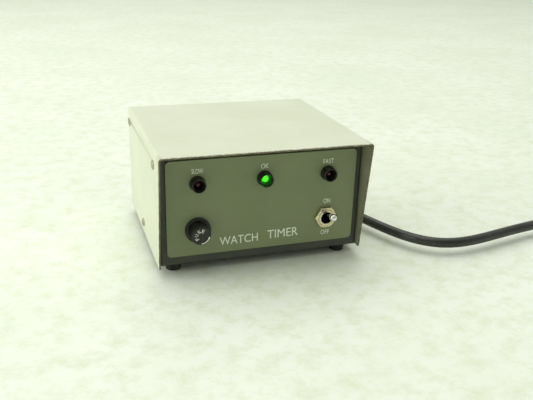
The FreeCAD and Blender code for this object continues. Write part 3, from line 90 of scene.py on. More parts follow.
class Look:
    """A material being built: one surface shader, and nodes that vary its colour, gloss and relief."""

    def __init__(self, name, roughness=0.5, metallic=0.0):
        self.material = bpy.data.materials.new(name)
        self.material.use_nodes = True
        self.tree = self.material.node_tree
        self.surface = self.tree.nodes["Principled BSDF"]
        self.place = self.tree.nodes.new("ShaderNodeTexCoord").outputs["Object"]
        self.geometry = self.tree.nodes.new("ShaderNodeNewGeometry")
        self.normal = None
        self.set("Roughness", roughness)
        self.set("Metallic", metallic)

    def feed(self, socket, value):
        """Gives an input a value, or links it to another node's output."""
        if isinstance(value, bpy.types.NodeSocket):
            self.tree.links.new(value, socket)
        elif socket.type == "RGBA" and not hasattr(value, "__len__"):
            socket.default_value = (value, value, value, 1.0)
        else:
            socket.default_value = value

    def set(self, name, value):
        self.feed(self.surface.inputs[name], value)

    def add(self, kind, *inputs, **settings):
        """A node with settings and its first inputs. A value of None leaves an input alone."""
        node = self.tree.nodes.new(kind)
        for key, value in settings.items():
            setattr(node, key, value)
        for socket, value in zip(node.inputs, inputs):
            if value is not None:
                self.feed(socket, value)
        return node

    def maths(self, operation, first, second=None):
        return self.add("ShaderNodeMath", first, second, operation=operation).outputs[0]

    def noise(self, size_mm, detail=3.0, stretch=(1, 1, 1), rough=0.55):
        """Clouds with blobs about size_mm across, longer along the axes whose stretch is small."""
        spread = self.add("ShaderNodeMapping").outputs[0]
        mapping = spread.node
        self.feed(mapping.inputs["Vector"], self.place)
        mapping.inputs["Scale"].default_value = stretch
        node = self.add("ShaderNodeTexNoise")
        self.feed(node.inputs["Vector"], spread)
        node.inputs["Scale"].default_value = 1 / (size_mm * MM)
        node.inputs["Detail"].default_value = detail
        node.inputs["Roughness"].default_value = rough
        return node.outputs["Fac"]

    def span(self, value, low, high, start=0.0, end=1.0):
        """A value between low and high, moved to between start and end, and held there."""
        node = self.add("ShaderNodeMapRange", value, low, high, start, end, clamp=True)
        return node.outputs[0]

    def mix(self, amount, first, second):
        node = self.add("ShaderNodeMix", data_type="RGBA")
        self.feed(node.inputs["Factor"], amount)
        self.feed(node.inputs[6], first)
        self.feed(node.inputs[7], second)
        return node.outputs[2]

    def axis(self, letter):
        return self.add("ShaderNodeSeparateXYZ", self.place).outputs[letter.upper()]

    def from_axis(self, centre):
        """Distance from a line along Y through a centre, in metres."""
        split = self.add("ShaderNodeSeparateXYZ", self.place).outputs
        across = self.maths("SUBTRACT", split["X"], centre.x)
        rise = self.maths("SUBTRACT", split["Z"], centre.z)
        flat = self.add("ShaderNodeCombineXYZ", across, rise, 0.0).outputs[0]
        return self.add("ShaderNodeVectorMath", flat, operation="LENGTH").outputs["Value"]

    def facing(self, direction):
        """How squarely the surface faces a direction, from -1 to 1."""
        node = self.add("ShaderNodeVectorMath", None, direction, operation="DOT_PRODUCT")
        self.feed(node.inputs[0], self.geometry.outputs["True Normal"])
        return node.outputs["Value"]

    def edges(self, radius_mm, soft=0.25):
        """1 along sharp edges, and 0 on flat and gently curved faces."""
        rounded = self.add("ShaderNodeBevel", samples=6)
        rounded.inputs["Radius"].default_value = radius_mm * MM
        node = self.add("ShaderNodeVectorMath", operation="DOT_PRODUCT")
        self.feed(node.inputs[0], rounded.outputs[0])
        self.feed(node.inputs[1], self.geometry.outputs["Normal"])
        return self.span(node.outputs["Value"], 1.0 - soft, 0.995, 1.0, 0.0)

    def waves(self, axis, pitch_mm):
        """A wave from 0 to 1 along one axis of the frame."""
        turns = self.maths("MULTIPLY", self.axis(axis), 2 * math.pi / (pitch_mm * MM))
        return self.span(self.maths("SINE", turns), -1.0, 1.0)

    def relief(self, height, depth_mm, strength=1.0):
        """Adds bumps of a height from 0 to 1 to the surface."""
        node = self.add("ShaderNodeBump")
        node.inputs["Distance"].default_value = depth_mm * MM
        node.inputs["Strength"].default_value = strength
        self.feed(node.inputs["Height"], height)
        if self.normal is not None:
            self.feed(node.inputs["Normal"], self.normal)
        self.normal = node.outputs[0]
        self.feed(self.surface.inputs["Normal"], self.normal)

    def colour(self, value):
        self.set("Base Color", value)
        return self.material

    def gloss(self, size_mm, low, high):
        """Uneven gloss: roughness clouds between two limits."""
        self.set("Roughness", self.span(self.noise(size_mm, 4.0), 0.3, 0.7, low, high))


def mottled(look, size_mm, first, second, low=0.35, high=0.65):
    """Two near colours in soft clouds."""
    return look.mix(look.span(look.noise(size_mm), low, high), first, second)


def cover_paint():
    """Light baked enamel, bare and grey inside, with chipped brown paint along the front edges."""
    look = Look("cover_enamel")
    outside = mottled(look, 45, rgb(208, 213, 191), rgb(215, 219, 199))
    specks = look.span(look.noise(0.9, 2.0), 0.66, 0.74, 0.0, 0.25)
    outside = look.mix(specks, outside, rgb(188, 189, 166))
    half = (COVER_HIGH.x - COVER_LOW.x) / 2
    mid_sheet = 0.6 * MM
    from_middle = look.maths("ABSOLUTE", look.maths("SUBTRACT", look.axis("x"), MIDDLE_X))
    inside_walls = look.maths("LESS_THAN", from_middle, half - mid_sheet)
    below_top = look.maths("LESS_THAN", look.axis("z"), COVER_HIGH.z - mid_sheet)
    inside = look.maths("MULTIPLY", inside_walls, below_top)
    primer = mottled(look, 12, rgb(140, 142, 120), rgb(150, 152, 129))
    colour = look.mix(inside, outside, primer)
    lip_end = COVER_LOW.y + 10.0 * MM
    front_lip = look.span(look.axis("y"), lip_end + 0.4 * MM, lip_end - 0.4 * MM)
    rim = look.span(look.facing((0, -1, 0)), 0.5, 0.8)
    rim = look.maths("MULTIPLY", rim, look.span(look.noise(3.0, 4.0), 0.36, 0.50, 0.7, 1.0))
    chips = look.maths("MULTIPLY", look.edges(3.0, 0.10), look.span(look.noise(1.8, 5.0), 0.43, 0.49))
    worn = look.maths("MAXIMUM", rim, look.maths("MULTIPLY", chips, front_lip))
    bare = mottled(look, 2.0, rgb(86, 80, 54), rgb(124, 116, 84))
    look.gloss(14, 0.36, 0.50)
    look.relief(look.noise(0.8, 2.0), 0.025, 0.6)
    look.relief(look.maths("SUBTRACT", 1.0, worn), 0.08, 0.7)
    return look.colour(look.mix(worn, colour, bare))


def chassis_paint():
    """Charcoal paint with a little dust and lighter rubbed edges."""
    look = Look("charcoal_paint")
    dark = mottled(look, 30, rgb(56, 59, 50), rgb(66, 69, 59))
    dust = look.span(look.noise(5.0, 6.0), 0.52, 0.72, 0.0, 0.22)
    colour = look.mix(dust, dark, rgb(96, 96, 86))
    rubbed = look.maths("MULTIPLY", look.edges(0.5), look.span(look.noise(4, 4.0), 0.45, 0.6, 0.1, 0.55))
    look.gloss(10, 0.42, 0.58)
    look.relief(look.noise(0.7, 2.0), 0.03, 0.6)
    return look.colour(look.mix(rubbed, colour, rgb(120, 120, 108)))


def plate_paint():
    """Olive satin paint, with faint rub marks and a brighter cut edge."""
    look = Look("olive_paint")
    base = mottled(look, 38, rgb(122, 133, 96), rgb(129, 139, 102))
    rubs = look.span(look.noise(6, 5.0, (0.35, 1, 1)), 0.58, 0.74, 0.0, 0.25)
    colour = look.mix(rubs, base, rgb(136, 140, 104))
    rim = look.maths("MULTIPLY", look.edges(0.4), look.span(look.noise(3, 3.0), 0.35, 0.6, 0.2, 0.7))
    look.gloss(9, 0.34, 0.46)
    look.relief(look.noise(0.6, 2.0), 0.02, 0.5)
    return look.colour(look.mix(rim, colour, rgb(172, 178, 146)))


def metal(name, first, second, roughness, stain=None, drawn=None, size_mm=6.0, wear=0.5):
    """Bare or plated metal: cloudy tone, uneven gloss, fine drawn lines, and bright rubbed edges."""
    look = Look(name, metallic=1.0)
    colour = mottled(look, size_mm, first, second)
    if stain:
        spots = look.span(look.noise(size_mm / 3, 6.0), 0.58, 0.72, 0.0, 0.6)
        colour = look.mix(spots, colour, stain)
    look.gloss(size_mm / 2, roughness * 0.75, roughness * 1.3)
    lines = look.noise(0.5, 3.0, drawn or (1, 1, 1))
    look.relief(lines, 0.02, 0.4)
    bright = look.maths("MULTIPLY", look.edges(0.3), wear)
    return look.colour(look.mix(bright, colour, rgb(235, 232, 222)))


def bushing_metal(first, second):
    """Plated metal with fine turning marks along Y, and the bore painted dark as shade."""
    look = Look("bushing_nickel", metallic=1.0)
    look.gloss(2.0, 0.14, 0.30)
    look.relief(look.waves("y", 0.25), 0.05, 0.5)
    grime = look.span(look.noise(1.5, 4.0), 0.5, 0.7, 0.0, 0.5)
    bright = look.mix(grime, mottled(look, 3, first, second), rgb(120, 108, 76))
    # Painted shade: everything inside the flared mouth, the mouth and the bore, is coloured near black.
    painted_bore_shade = look.span(look.from_axis(SWITCH_CENTRE), BUSHING_MOUTH_R * 1.01, BUSHING_MOUTH_R * 0.96)
    return look.colour(look.mix(painted_bore_shade, bright, rgb(26, 24, 18)))


def lever_chrome():
    """Bright chrome on the tip, with a patchy painted dark reflection towards the pivot."""
    look = Look("bright_chrome", metallic=1.0)
    low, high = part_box("switch_lever")
    length = high.y - low.y
    bright = mottled(look, 3, rgb(226, 226, 222), rgb(242, 242, 240))
    # Painted dark reflection: the shaft is darkened in patches towards the pivot, as if it mirrored the shaded
    # bore.
    painted_pivot_shade = look.span(look.axis("y"), low.y + 0.20 * length, low.y + 0.42 * length)
    patchy = look.span(look.noise(1.4, 4.0), 0.3, 0.7, 0.75, 1.0)
    look.gloss(2.0, 0.07, 0.18)
    look.relief(look.noise(0.8, 2.0), 0.01, 0.4)
    return look.colour(look.mix(look.maths("MULTIPLY", painted_pivot_shade, patchy), bright, rgb(52, 48, 38)))


def plastic(name, first, second, roughness, grain_mm=0.5, depth_mm=0.02, edge=None, dust=0.15, size_mm=8.0):
    """Moulded plastic: near colours, a fine moulded grain, dust in the grain and paler edges."""
    look = Look(name)
    colour = mottled(look, size_mm, first, second)
    settled = look.span(look.noise(size_mm / 2, 6.0), 0.55, 0.75, 0.0, dust)
    colour = look.mix(settled, colour, rgb(130, 128, 116))
    if edge:
        colour = look.mix(look.maths("MULTIPLY", look.edges(0.35), 0.6), colour, edge)
    look.gloss(size_mm / 2, roughness * 0.8, roughness * 1.2)
    look.relief(look.noise(grain_mm, 2.0), depth_mm, 0.6)
    return look.colour(colour)


def lens(name, deep, bright, glow=0.0):
    """A tinted epoxy lamp body with a painted highlight: brighter where it is seen square on."""
    look = Look(name)
    facing = look.add("ShaderNodeLayerWeight", 0.35).outputs["Facing"]
    # Painted highlight: the colour turns from deep to bright where the lens faces the view.
    centre = look.span(facing, 0.75, 0.1)
    clouds = look.span(look.noise(1.6), 0.3, 0.7, 0.7, 1.0)
    colour = look.mix(look.maths("MULTIPLY", centre, clouds), deep, bright)
    look.set("Transmission Weight", 0.25)
    look.set("IOR", 1.5)
    look.gloss(1.5, 0.10, 0.2)
    look.relief(look.noise(1.2, 2.0), 0.01, 0.5)
    if glow:
        look.set("Emission Color", colour)
        look.set("Emission Strength", look.span(centre, 0.0, 1.0, glow * 0.35, glow))
    return look.colour(colour)


def clear_glass():
    """Thin clear glass with faint ripples."""
    look = Look("fuse_tube_glass")
    look.set("Transmission Weight", 1.0)
    look.gloss(3, 0.02, 0.08)
    look.relief(look.noise(4, 2.0), 0.01, 0.4)
    return look.colour(mottled(look, 5, rgb(228, 238, 230), rgb(244, 250, 246)))


def insulated_wire():
    """Vinyl-covered wires whose colour changes from one wire to the next."""
    look = Look("vinyl_wires")
    cells = look.add("ShaderNodeTexVoronoi")
    cells.inputs["Scale"].default_value = 1 / (30 * MM)
    look.feed(cells.inputs["Vector"], look.place)
    pick = look.add("ShaderNodeSeparateColor", cells.outputs["Color"]).outputs[0]
    colour = look.mix(look.span(pick, 0.30, 0.31), rgb(170, 40, 32), rgb(40, 70, 150))
    colour = look.mix(look.span(pick, 0.62, 0.63), colour, rgb(214, 190, 60))
    look.gloss(3, 0.35, 0.5)
    look.relief(look.noise(0.5, 2.0), 0.02, 0.5)
    return look.colour(look.mix(look.span(look.noise(2), 0.4, 0.7, 0.0, 0.25), colour, rgb(70, 62, 56)))


def laminations():
    """Varnished core plates stacked along X, with thin dark joints and rusty edges."""
    look = Look("core_laminations")
    joint = look.span(look.waves("x", 0.5), 0.1, 0.4)
    tone = mottled(look, 5, rgb(66, 58, 50), rgb(88, 76, 64))
    colour = look.mix(joint, rgb(30, 26, 24), tone)
    rust = look.span(look.noise(3, 6.0), 0.55, 0.7, 0.0, 0.6)
    look.gloss(3, 0.4, 0.6)
    look.relief(joint, 0.06, 0.7)
    return look.colour(look.mix(rust, colour, rgb(112, 66, 34)))


def winding_tape():
    """Overlapping turns of yellow polyester tape, slightly glossy."""
    look = Look("winding_tape")
    lap = look.span(look.waves("z", 6.0), 0.45, 0.55)
    colour = look.mix(lap, rgb(188, 150, 44), rgb(206, 170, 62))
    look.gloss(4, 0.22, 0.4)
    look.relief(lap, 0.08, 0.8)
    look.relief(look.noise(2.2, 3.0, (1, 1, 0.4)), 0.08, 0.6)
    return look.colour(look.mix(look.span(look.noise(5), 0.4, 0.7, 0.0, 0.3), colour, rgb(146, 108, 30)))


def board_laminate():
    """Green board with tinned tracks on a 2.54 mm grid and pale printed dots."""
    look = Look("board_laminate")
    bricks = look.add("ShaderNodeTexBrick")
    look.feed(bricks.inputs["Vector"], look.place)
    for name, value in (("Scale", 1 / (5.08 * MM)), ("Mortar Size", 0.09), ("Mortar Smooth", 0.1)):
        bricks.inputs[name].default_value = value
    tracks = bricks.outputs["Fac"]
    mask = mottled(look, 9, rgb(22, 84, 46), rgb(30, 98, 54))
    colour = look.mix(look.maths("MULTIPLY", tracks, 0.75), mask, rgb(74, 138, 70))
    look.gloss(6, 0.28, 0.42)
    look.relief(tracks, 0.05, 0.8)
    weave = look.maths("MULTIPLY", look.waves("x", 0.8), look.waves("y", 0.8))
    look.relief(weave, 0.01, 0.4)
    return look.colour(colour)


def banded_resistor():
    """Tan lacquer with colour bands across the body."""
    look = Look("banded_resistor")
    band = look.span(look.waves("x", 1.7), 0.78, 0.82)
    hue = look.span(look.noise(5, 1.0), 0.48, 0.52)
    bands = look.mix(hue, rgb(120, 50, 30), rgb(60, 60, 150))
    look.gloss(2, 0.3, 0.45)
    look.relief(look.noise(0.6), 0.02, 0.5)
    return look.colour(look.mix(band, mottled(look, 3, rgb(190, 154, 108), rgb(206, 172, 128)), bands))


def printed_ink():
    """White screen-printed ink, thin in places."""
    look = Look("printed_ink", roughness=0.55)
    thin = look.span(look.noise(1.1, 4.0), 0.50, 0.72, 0.0, 0.4)
    look.relief(look.noise(0.3, 2.0), 0.01, 0.5)
    look.gloss(2, 0.45, 0.6)
    return look.colour(look.mix(thin, rgb(242, 246, 230), rgb(168, 176, 146)))


def cord_vinyl():
    """Glossy black vinyl with soft handling marks."""
    look = Look("cord_vinyl")
    base = mottled(look, 25, rgb(32, 33, 31), rgb(46, 47, 44))
    scuffs = look.span(look.noise(2.4, 6.0, (0.4, 0.4, 1)), 0.58, 0.72, 0.0, 0.45)
    look.gloss(12, 0.22, 0.40)
    look.relief(look.noise(3.5, 3.0), 0.05, 0.4)
    look.relief(look.noise(0.4, 2.0), 0.01, 0.4)
    return look.colour(look.mix(scuffs, base, rgb(74, 74, 68)))


NICKEL = (rgb(206, 196, 158), rgb(226, 218, 188))
STEEL = (rgb(158, 152, 130), rgb(190, 186, 168))
BRASS = (rgb(196, 152, 72), rgb(216, 178, 98))


def make_materials():
    """A material for each of the record's material slots."""
    black = (rgb(15, 15, 14), rgb(24, 24, 22))
    return {
        "cover_paint": cover_paint(),
        "chassis_paint": chassis_paint(),
        "plate_paint": plate_paint(),
        "screw_steel": metal("zinc_screws", *STEEL, 0.34, rgb(120, 96, 56), size_mm=3.0),
        "foot_rubber": plastic("foot_rubber", rgb(22, 22, 21), rgb(34, 34, 32), 0.72, 0.8, 0.06, dust=0.4),
        "black_plastic": plastic("black_phenolic", *black, 0.42, 0.5, 0.015, rgb(58, 58, 52), dust=0.08),
        "lens_red": lens("red_lamp", rgb(26, 4, 4), rgb(74, 10, 10)),
        "lens_green": lens("green_lamp", rgb(6, 110, 10), rgb(70, 235, 30), glow=1.7),
        "tinned_wire": metal("tinned_copper", rgb(184, 184, 178), rgb(206, 204, 196), 0.3, size_mm=2.0),
        "wire_insulation": insulated_wire(),
        "nickel": metal("nickel_plate", *NICKEL, 0.20, rgb(128, 112, 74), size_mm=4.0, wear=0.7),
        "lever_chrome": lever_chrome(),
        "brass_contact": metal("plain_brass", *BRASS, 0.28, rgb(104, 66, 34), (0.2, 1, 1), 3.0),
        "fuse_glass": clear_glass(),
        "brown_phenolic": plastic("brown_phenolic", rgb(74, 44, 28), rgb(96, 60, 38), 0.42, 0.7, 0.03),
        "nylon": plastic("natural_nylon", rgb(214, 208, 190), rgb(228, 224, 208), 0.45, 0.6, 0.02),
        "core_steel": laminations(),
        "winding_tape": winding_tape(),
        "board_laminate": board_laminate(),
        "chip_plastic": plastic("moulded_epoxy", rgb(30, 30, 32), rgb(42, 42, 44), 0.55, 0.25, 0.03),
        "resistor_body": banded_resistor(),
        "can_sleeve": plastic("blue_sleeve", rgb(26, 38, 92), rgb(36, 52, 116), 0.25, 2.0, 0.04),
        "crystal_can": metal("crystal_can", rgb(190, 190, 188), rgb(212, 212, 208), 0.26, size_mm=5.0),
        "heat_sink_black": metal("black_anodised", rgb(34, 34, 36), rgb(48, 48, 50), 0.4, drawn=(1, 1, 0.1)),
        "trimmer_blue": plastic("trimmer_blue", rgb(24, 66, 150), rgb(34, 84, 176), 0.4, 0.4, 0.02),
        "cord_sheath": cord_vinyl(),
    }


def paint_cad_nodes(materials):
    """Gives every CAD node the material of its slot."""
    for part in frame["record"]["subparts"]:
        node = frame["nodes"][part["node"]]
        material = materials[part["material_slot"]]
        if not node.material_slots:
            node.data.materials.append(material)
        for slot in node.material_slots:
            slot.material = material


def soften_edges(node_name, width_mm, angle=35.0, segments=2):
    """Rounds a CAD node's sharp edges with modifiers. The node's own mesh stays as it is."""
    node = frame["nodes"][node_name]
    weld = node.modifiers.new("join_faces", "WELD")
    weld.merge_threshold = 0.002 * MM
    bevel = node.modifiers.new("round_edges", "BEVEL")
    bevel.width = width_mm * MM
    bevel.segments = segments
    bevel.limit_method = "ANGLE"
    bevel.angle_limit = math.radians(angle)
    bevel.use_clamp_overlap = True
    bevel.harden_normals = True


# Mesh building

def new_piece(name, vertices, faces, material, slot, body="root", smooth=True):
    """A mesh piece that rides on a CAD body."""
    mesh = bpy.data.meshes.new(name)
    mesh.from_pydata([tuple(v) for v in vertices], [], faces)
    mesh.validate()
    if smooth:
        mesh.shade_smooth()
        mesh.set_sharp_from_angle(angle=math.radians(40))
    mesh.materials.append(material)
    piece = bpy.data.objects.new(name, mesh)
    bpy.context.scene.collection.objects.link(piece)
    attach(piece, body)
    return piece


def ring_solid(profile, centre, steps=96):
    """Vertices and faces of a closed ring turned about a line along Y, from (radius, y) points."""
    vertices = []
    for i in range(steps):
        turn = 2 * math.pi * i / steps
        for radius, y in profile:
            vertices.append((centre.x + radius * math.cos(turn), y, centre.z + radius * math.sin(turn)))
    count = len(profile)
    faces = []
    for i in range(steps):
        here, there = i * count, ((i + 1) % steps) * count
        for j in range(count):
            k = (j + 1) % count
            faces.append((here + j, here + k, there + k, there + j))
    return vertices, faces


def thread_profile(radius, start, end, pitch, depth):
    """The outer outline of a threaded stretch, as (radius, y) crests and roots."""
    turns = int((end - start) / pitch)
    points = []
    for i in range(turns):
        y = start + i * pitch
        points += [(radius - depth, y), (radius, y + 0.4 * pitch), (radius, y + 0.6 * pitch)]
    points.append((radius - depth, start + turns * pitch))
    return points


def threaded_bushing(material):
    """The switch's bushing with its thread, flared mouth and rounded lip."""
    low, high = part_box("switch_bushing")
    radius = (high.x - low.x) / 2
    lip = 0.4 * MM
    soft = 0.15 * MM
    pitch, depth = 0.75 * MM, 0.36 * MM
    thread_end = high.y - 0.3 * MM
    bore_start = PLATE_HIGH.y - 1.0 * MM
    centre = Vector((SWITCH_CENTRE.x, 0, SWITCH_CENTRE.z))
    profile = [(BUSHING_MOUTH_R, low.y + soft), (BUSHING_MOUTH_R + soft, low.y), (radius - lip, low.y)]
    profile += thread_profile(radius, low.y + lip, thread_end, pitch, depth)
    profile += [(radius - 0.4 * MM, high.y), (BUSHING_BORE_R, high.y), (BUSHING_BORE_R, bore_start)]
    piece = new_piece("switch_bushing_threaded", *ring_solid(profile, centre), material, "nickel")
    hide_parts("switch_bushing")


# Lettering

def flat_text(name, words):
    """Text as a mesh in the XY plane, one unit of ink thick."""
    curve = bpy.data.curves.new(name, "FONT")
    curve.body = words
    curve.extrude = 0.5
    curve.resolution_u = 4
    made = bpy.data.objects.new(name, curve)
    bpy.context.scene.collection.objects.link(made)
    graph = bpy.context.evaluated_depsgraph_get()
    mesh = bpy.data.meshes.new_from_object(made.evaluated_get(graph))
    bpy.data.objects.remove(made)
    return mesh


def fit_letters(mesh, width, height, turn=0.0):
    """Scales a text mesh to a width and height about its middle, and lays the ink's back at z = 0."""
    xs = [v.co.x for v in mesh.vertices]
    ys = [v.co.y for v in mesh.vertices]
    middle = Vector(((min(xs) + max(xs)) / 2, (min(ys) + max(ys)) / 2, -0.5))
    size = Vector((width / (max(xs) - min(xs)), height / (max(ys) - min(ys)), INK_HEIGHT))
    mesh.transform(Matrix.Translation(-middle))
    mesh.transform(Matrix.Diagonal((*size, 1.0)))
    mesh.transform(Matrix.Rotation(turn, 4, "Z"))


def stand_on_front(mesh, x, y, z):
    """Stands a mesh drawn in the XY plane up against a face that looks along -Y."""
    upright = Matrix.Rotation(math.radians(90), 4, "X")
    mesh.transform(Matrix.Translation((x, y + INK_SUNK, z)) @ upright)


def printed(name, mesh, ink, body):
    """An ink mesh as a piece that rides on a body."""
    mesh.materials.clear()
    mesh.materials.append(ink)
    piece = bpy.data.objects.new(name, mesh)
    bpy.context.scene.collection.objects.link(piece)
    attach(piece, body)
    return piece


def panel_label(name, word, place, size, ink, turn=0.0):
    """A word on the front plate, by its middle (x, z) and its size (width, height)."""
    mesh = flat_text(name, word)
    fit_letters(mesh, *size, turn)
    stand_on_front(mesh, place[0], PLATE_LOW.y, place[1])
    printed(name, mesh, ink, "root")


def panel_lettering(ink):
    """The generic words on the front plate: above the lamps, round the switch, and the title."""
    lamp_z = (LAMP_BOXES["left"][0].z + LAMP_BOXES["left"][1].z) / 2
    above_lamps = 8.2 * MM
    lamp_words = {"left": ("SLOW", 7.4 * MM), "centre": ("OK", 5.0 * MM), "right": ("FAST", 7.4 * MM)}
    for side, (word, width) in lamp_words.items():
        low, high = LAMP_BOXES[side]
        place = ((low.x + high.x) / 2, lamp_z + above_lamps)
        panel_label("label_" + word.lower(), word, place, (width, SMALL_LETTER), ink)
    from_switch = 11.4 * MM
    switch_x, switch_z = SWITCH_CENTRE.x + 0.5 * MM, SWITCH_CENTRE.z
    for word, width, rise in (("ON", 4.8 * MM, from_switch), ("OFF", 6.2 * MM, -from_switch)):
        place = (switch_x, switch_z + rise)
        panel_label("label_" + word.lower(), word, place, (width, SMALL_LETTER), ink)
    slope = math.radians(1.0)
    title = (
        ("WATCH", (MIDDLE_X - 16.6 * MM, 20.2 * MM), (26.0 * MM, 5.8 * MM)),
        ("TIMER", (MIDDLE_X + 13.8 * MM, 21.4 * MM), (21.6 * MM, 6.0 * MM)),
    )
    for word, place, size in title:
        panel_label("label_" + word.lower(), word, place, size, ink, slope)


def cap_lettering(ink):
    """FUSE in letters round the cap's upper left, and a turning arrow at its lower right."""
    radius = 3.3 * MM
    letter_width = 1.7 * MM
    letter_height = 2.2 * MM
    for letter, degrees in zip("FUSE", (212, 166, 118, 70)):
        turn = math.radians(degrees)
        mesh = flat_text("letter", letter)
        fit_letters(mesh, letter_width, letter_height, turn - math.pi / 2)
        x = CAP_CENTRE.x + radius * math.cos(turn)
        z = CAP_CENTRE.z + radius * math.sin(turn)
        stand_on_front(mesh, x, CAP_FRONT_Y, z)
        printed("cap_letter_" + letter.lower(), mesh, ink, "fuse_cap")
    arc_arrow(ink, radius=5.3 * MM, start=-90, end=-24)


def arc_arrow(ink, radius, start, end, width=0.6 * MM, head=1.2 * MM):
    """A thin raised arc with an arrowhead at its end, on the cap's face. Angles are in degrees."""
    steps = 16
    head_length = 1.3 * head
    back = CAP_FRONT_Y + INK_SUNK
    front = back - INK_HEIGHT
    outline = []
    for offset, order in ((-width / 2, range(steps + 1)), (width / 2, range(steps, -1, -1))):
        for i in order:
            turn = math.radians(start + (end - start) * i / steps)
            outline.append(((radius + offset) * math.cos(turn), (radius + offset) * math.sin(turn)))
        if offset < 0:
            turn = math.radians(end)
            tip = math.radians(end) + head_length / radius
            inner, outer = radius - head / 2, radius + head / 2
            outline.append((inner * math.cos(turn), inner * math.sin(turn)))
            outline.append((radius * math.cos(tip), radius * math.sin(tip)))
            outline.append((outer * math.cos(turn), outer * math.sin(turn)))
    count = len(outline)
    vertices = [(CAP_CENTRE.x + x, front, CAP_CENTRE.z + z) for x, z in outline]
    vertices += [(CAP_CENTRE.x + x, back, CAP_CENTRE.z + z) for x, z in outline]
    faces = [tuple(range(count)), tuple(range(2 * count - 1, count - 1, -1))]
    faces += [(i, i + count, (i + 1) % count + count, (i + 1) % count) for i in range(count)]
    new_piece("cap_arrow", vertices, faces, ink, "black_plastic", "fuse_cap", smooth=False)


# Mains plug

def moulded_plug(material):
    """A moulded plug on the cord: ribbed strain relief, waisted grip with finger bars, rounded face."""
    mount = MOUNTS["mains_plug"]
    face = Vector(mount["pos_m"])
    ahead = Vector(mount["axis"]).normalized()
    aside = Vector((-ahead.y, ahead.x, 0))
    low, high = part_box("plug_body")
    half_height = (high.z - low.z) / 2
    half_width = 12.5 * MM
    length = 42.0 * MM
    neck_r = 5.0 * MM
    neck_end = 16.0 * MM
    swell_start, swell_length = 0.75 * neck_end, 12.0 * MM
    waist_at, waist_spread, waist_depth = 31.0 * MM, 5.0 * MM, 0.09
    taper = 0.08
    rib_start, rib_end, rib_pitch, rib_height = 1.5 * MM, 0.85 * neck_end, 3.0 * MM, 0.7 * MM
    bar_start, bar_end, bar_pitch, bar_height = 26.0 * MM, 37.0 * MM, 2.75 * MM, 0.45 * MM
    corner = 1.2 * MM
    round_power, square_power = 2.0, 3.6
    steps = 140
    around = 72
    vertices = []
    for i in range(steps + 1):
        along = length * i / steps
        swell = smooth_step((along - swell_start) / swell_length)
        waist = 1.0 - waist_depth * math.exp(-((along - waist_at) / waist_spread) ** 2)
        wide = neck_r + (half_width * waist - neck_r) * swell
        tall = neck_r + (half_height * (1 - taper * (1 - along / length)) - neck_r) * swell
        rib = rib_depth(along, rib_start, rib_end, rib_pitch) * rib_height
        bar = rib_depth(along, bar_start, bar_end, bar_pitch) * bar_height
        end_round = rounded_end(min(along, length - along), corner)
        power = round_power + (square_power - round_power) * swell
        for j in range(around):
            turn = 2 * math.pi * j / around
            c, s = math.cos(turn), math.sin(turn)
            x = math.copysign(abs(c) ** (2 / power), c) * (wide - rib - end_round)
            z = math.copysign(abs(s) ** (2 / power), s) * (tall - rib - end_round - bar * abs(s) ** 3)
            vertices.append(face + ahead * (along - length) + aside * x + Vector((0, 0, z)))
    faces = []
    for i in range(steps):
        here, there = i * around, (i + 1) * around
        for j in range(around):
            k = (j + 1) % around
            faces.append((here + j, here + k, there + k, there + j))
    faces.append(tuple(range(around - 1, -1, -1)))
    faces.append(tuple(steps * around + j for j in range(around)))
    piece = new_piece("mains_plug_moulding", vertices, faces, material, "cord_sheath")
    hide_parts("plug_body")


def smooth_step(share):
    """0 below 0, 1 above 1, and a smooth rise in between."""
    share = min(1.0, max(0.0, share))
    return share * share * (3 - 2 * share)


def rib_depth(along, start, end, pitch):
    """How deep a groove is at a distance along, from 0 to 1, between start and end."""
    if not start < along < end:
        return 0.0
    wave = math.sin(2 * math.pi * (along - start) / pitch - math.pi / 2)
    return min(1.0, max(0.0, 0.5 + 1.2 * wave))


def rounded_end(distance, radius):
    """How far a quarter-round end steps in at a distance from it."""
    if distance >= radius:
        return 0.0
    return radius - math.sqrt(radius ** 2 - (radius - distance) ** 2)


# Studio

def floor():
    """A wide pale tabletop with faint soft marks."""
    look = Look("pale_table")
    colour = mottled(look, 160, rgb(230, 236, 224), rgb(237, 241, 232))
    smudge = look.span(look.noise(35, 5.0, (1, 0.6, 1)), 0.50, 0.8, 0.0, 0.25)
    grain = look.span(look.noise(14.0, 8.0, rough=0.75), 0.46, 0.66, 0.0, 0.7)
    colour = look.mix(grain, colour, rgb(214, 219, 190))
    look.relief(look.noise(6.0, 8.0, rough=0.75), 0.5, 0.6)
    look.gloss(90, 0.5, 0.62)
    look.colour(look.mix(smudge, colour, rgb(214, 219, 200)))
    half = 6.0
    mesh = bpy.data.meshes.new("tabletop")
    corners = [(-half, -half, 0), (half, -half, 0), (half, half, 0), (-half, half, 0)]
    mesh.from_pydata(corners, [], [(0, 1, 2, 3)])
    mesh.materials.append(look.material)
    top = bpy.data.objects.new("tabletop", mesh)
    bpy.context.scene.collection.objects.link(top)


def area_light(name, place, target, size, watts, colour):
    """A rectangular light at a place, aimed at a target."""
    light = bpy.data.lights.new(name, "AREA")
    light.shape = "RECTANGLE"
    light.size, light.size_y = size
    light.energy = watts
    light.color = colour[:3]
    lamp = bpy.data.objects.new(name, light)
    bpy.context.scene.collection.objects.link(lamp)
    lamp.location = place
    lamp.rotation_euler = (Vector(target) - Vector(place)).to_track_quat("-Z", "Y").to_euler()


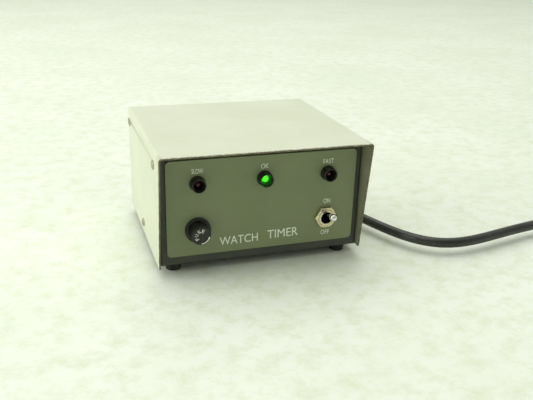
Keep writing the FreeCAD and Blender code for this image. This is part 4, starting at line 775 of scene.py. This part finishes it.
def lights():
    """A wide softbox overhead, a strong one on the left, and a pale sky that is dimmer in front."""
    middle = (MIDDLE_X, 0.05, 0.04)
    white = rgb(255, 255, 250)
    area_light("overhead", (-0.2, 0.7, 2.3), middle, (3.4, 3.0), 41.0, white)
    area_light("left_window", (-1.5, 0.15, 0.7), middle, (1.2, 1.0), 11.5, white)
    world = bpy.data.worlds.new("pale_sky")
    world.use_nodes = True
    nodes, links = world.node_tree.nodes, world.node_tree.links
    sky = nodes["Background"]
    sky.inputs["Color"].default_value = rgb(240, 245, 232)
    split = nodes.new("ShaderNodeSeparateXYZ")
    fade = nodes.new("ShaderNodeMapRange")
    links.new(nodes.new("ShaderNodeTexCoord").outputs["Generated"], split.inputs[0])
    links.new(split.outputs["Y"], fade.inputs["Value"])
    for name, value in (("From Min", -0.9), ("From Max", 0.2), ("To Min", 0.40), ("To Max", 0.75)):
        fade.inputs[name].default_value = value
    links.new(fade.outputs["Result"], sky.inputs["Strength"])
    bpy.context.scene.world = world


def camera():
    """The main camera, a little above and to the left of the front."""
    place = Vector((-0.0732, -0.4001, 0.2068))
    yaw, pitch, roll = math.radians(18.89), math.radians(21.32), math.radians(1.72)
    ahead = Vector((math.sin(yaw) * math.cos(pitch), math.cos(yaw) * math.cos(pitch), -math.sin(pitch)))
    right = Vector((math.cos(yaw), -math.sin(yaw), 0))
    up = right.cross(ahead)
    rolled_right = math.cos(roll) * right + math.sin(roll) * up
    rolled_up = -math.sin(roll) * right + math.cos(roll) * up
    data = bpy.data.cameras.new("main_camera")
    data.sensor_width = 36.0
    data.lens = 45.95
    data.clip_start = 0.01
    eye = bpy.data.objects.new("main_camera", data)
    bpy.context.scene.collection.objects.link(eye)
    turn = Matrix((rolled_right, rolled_up, -ahead)).transposed()
    eye.matrix_world = Matrix.Translation(place) @ turn.to_4x4()
    bpy.context.scene.camera = eye


def build():
    """Materials and edges on the CAD parts, then the new pieces and the studio."""
    materials = make_materials()
    paint_cad_nodes(materials)
    for node_name, width_mm in ROUNDED_EDGES.items():
        soften_edges(node_name, width_mm)
    ink = printed_ink()
    panel_lettering(ink)
    cap_lettering(ink)
    threaded_bushing(bushing_metal(*NICKEL))
    moulded_plug(materials["cord_sheath"])
    floor()
    lights()
    camera()
    view = bpy.context.scene.view_settings
    view.view_transform = "Standard"
    view.look = "None"


build()
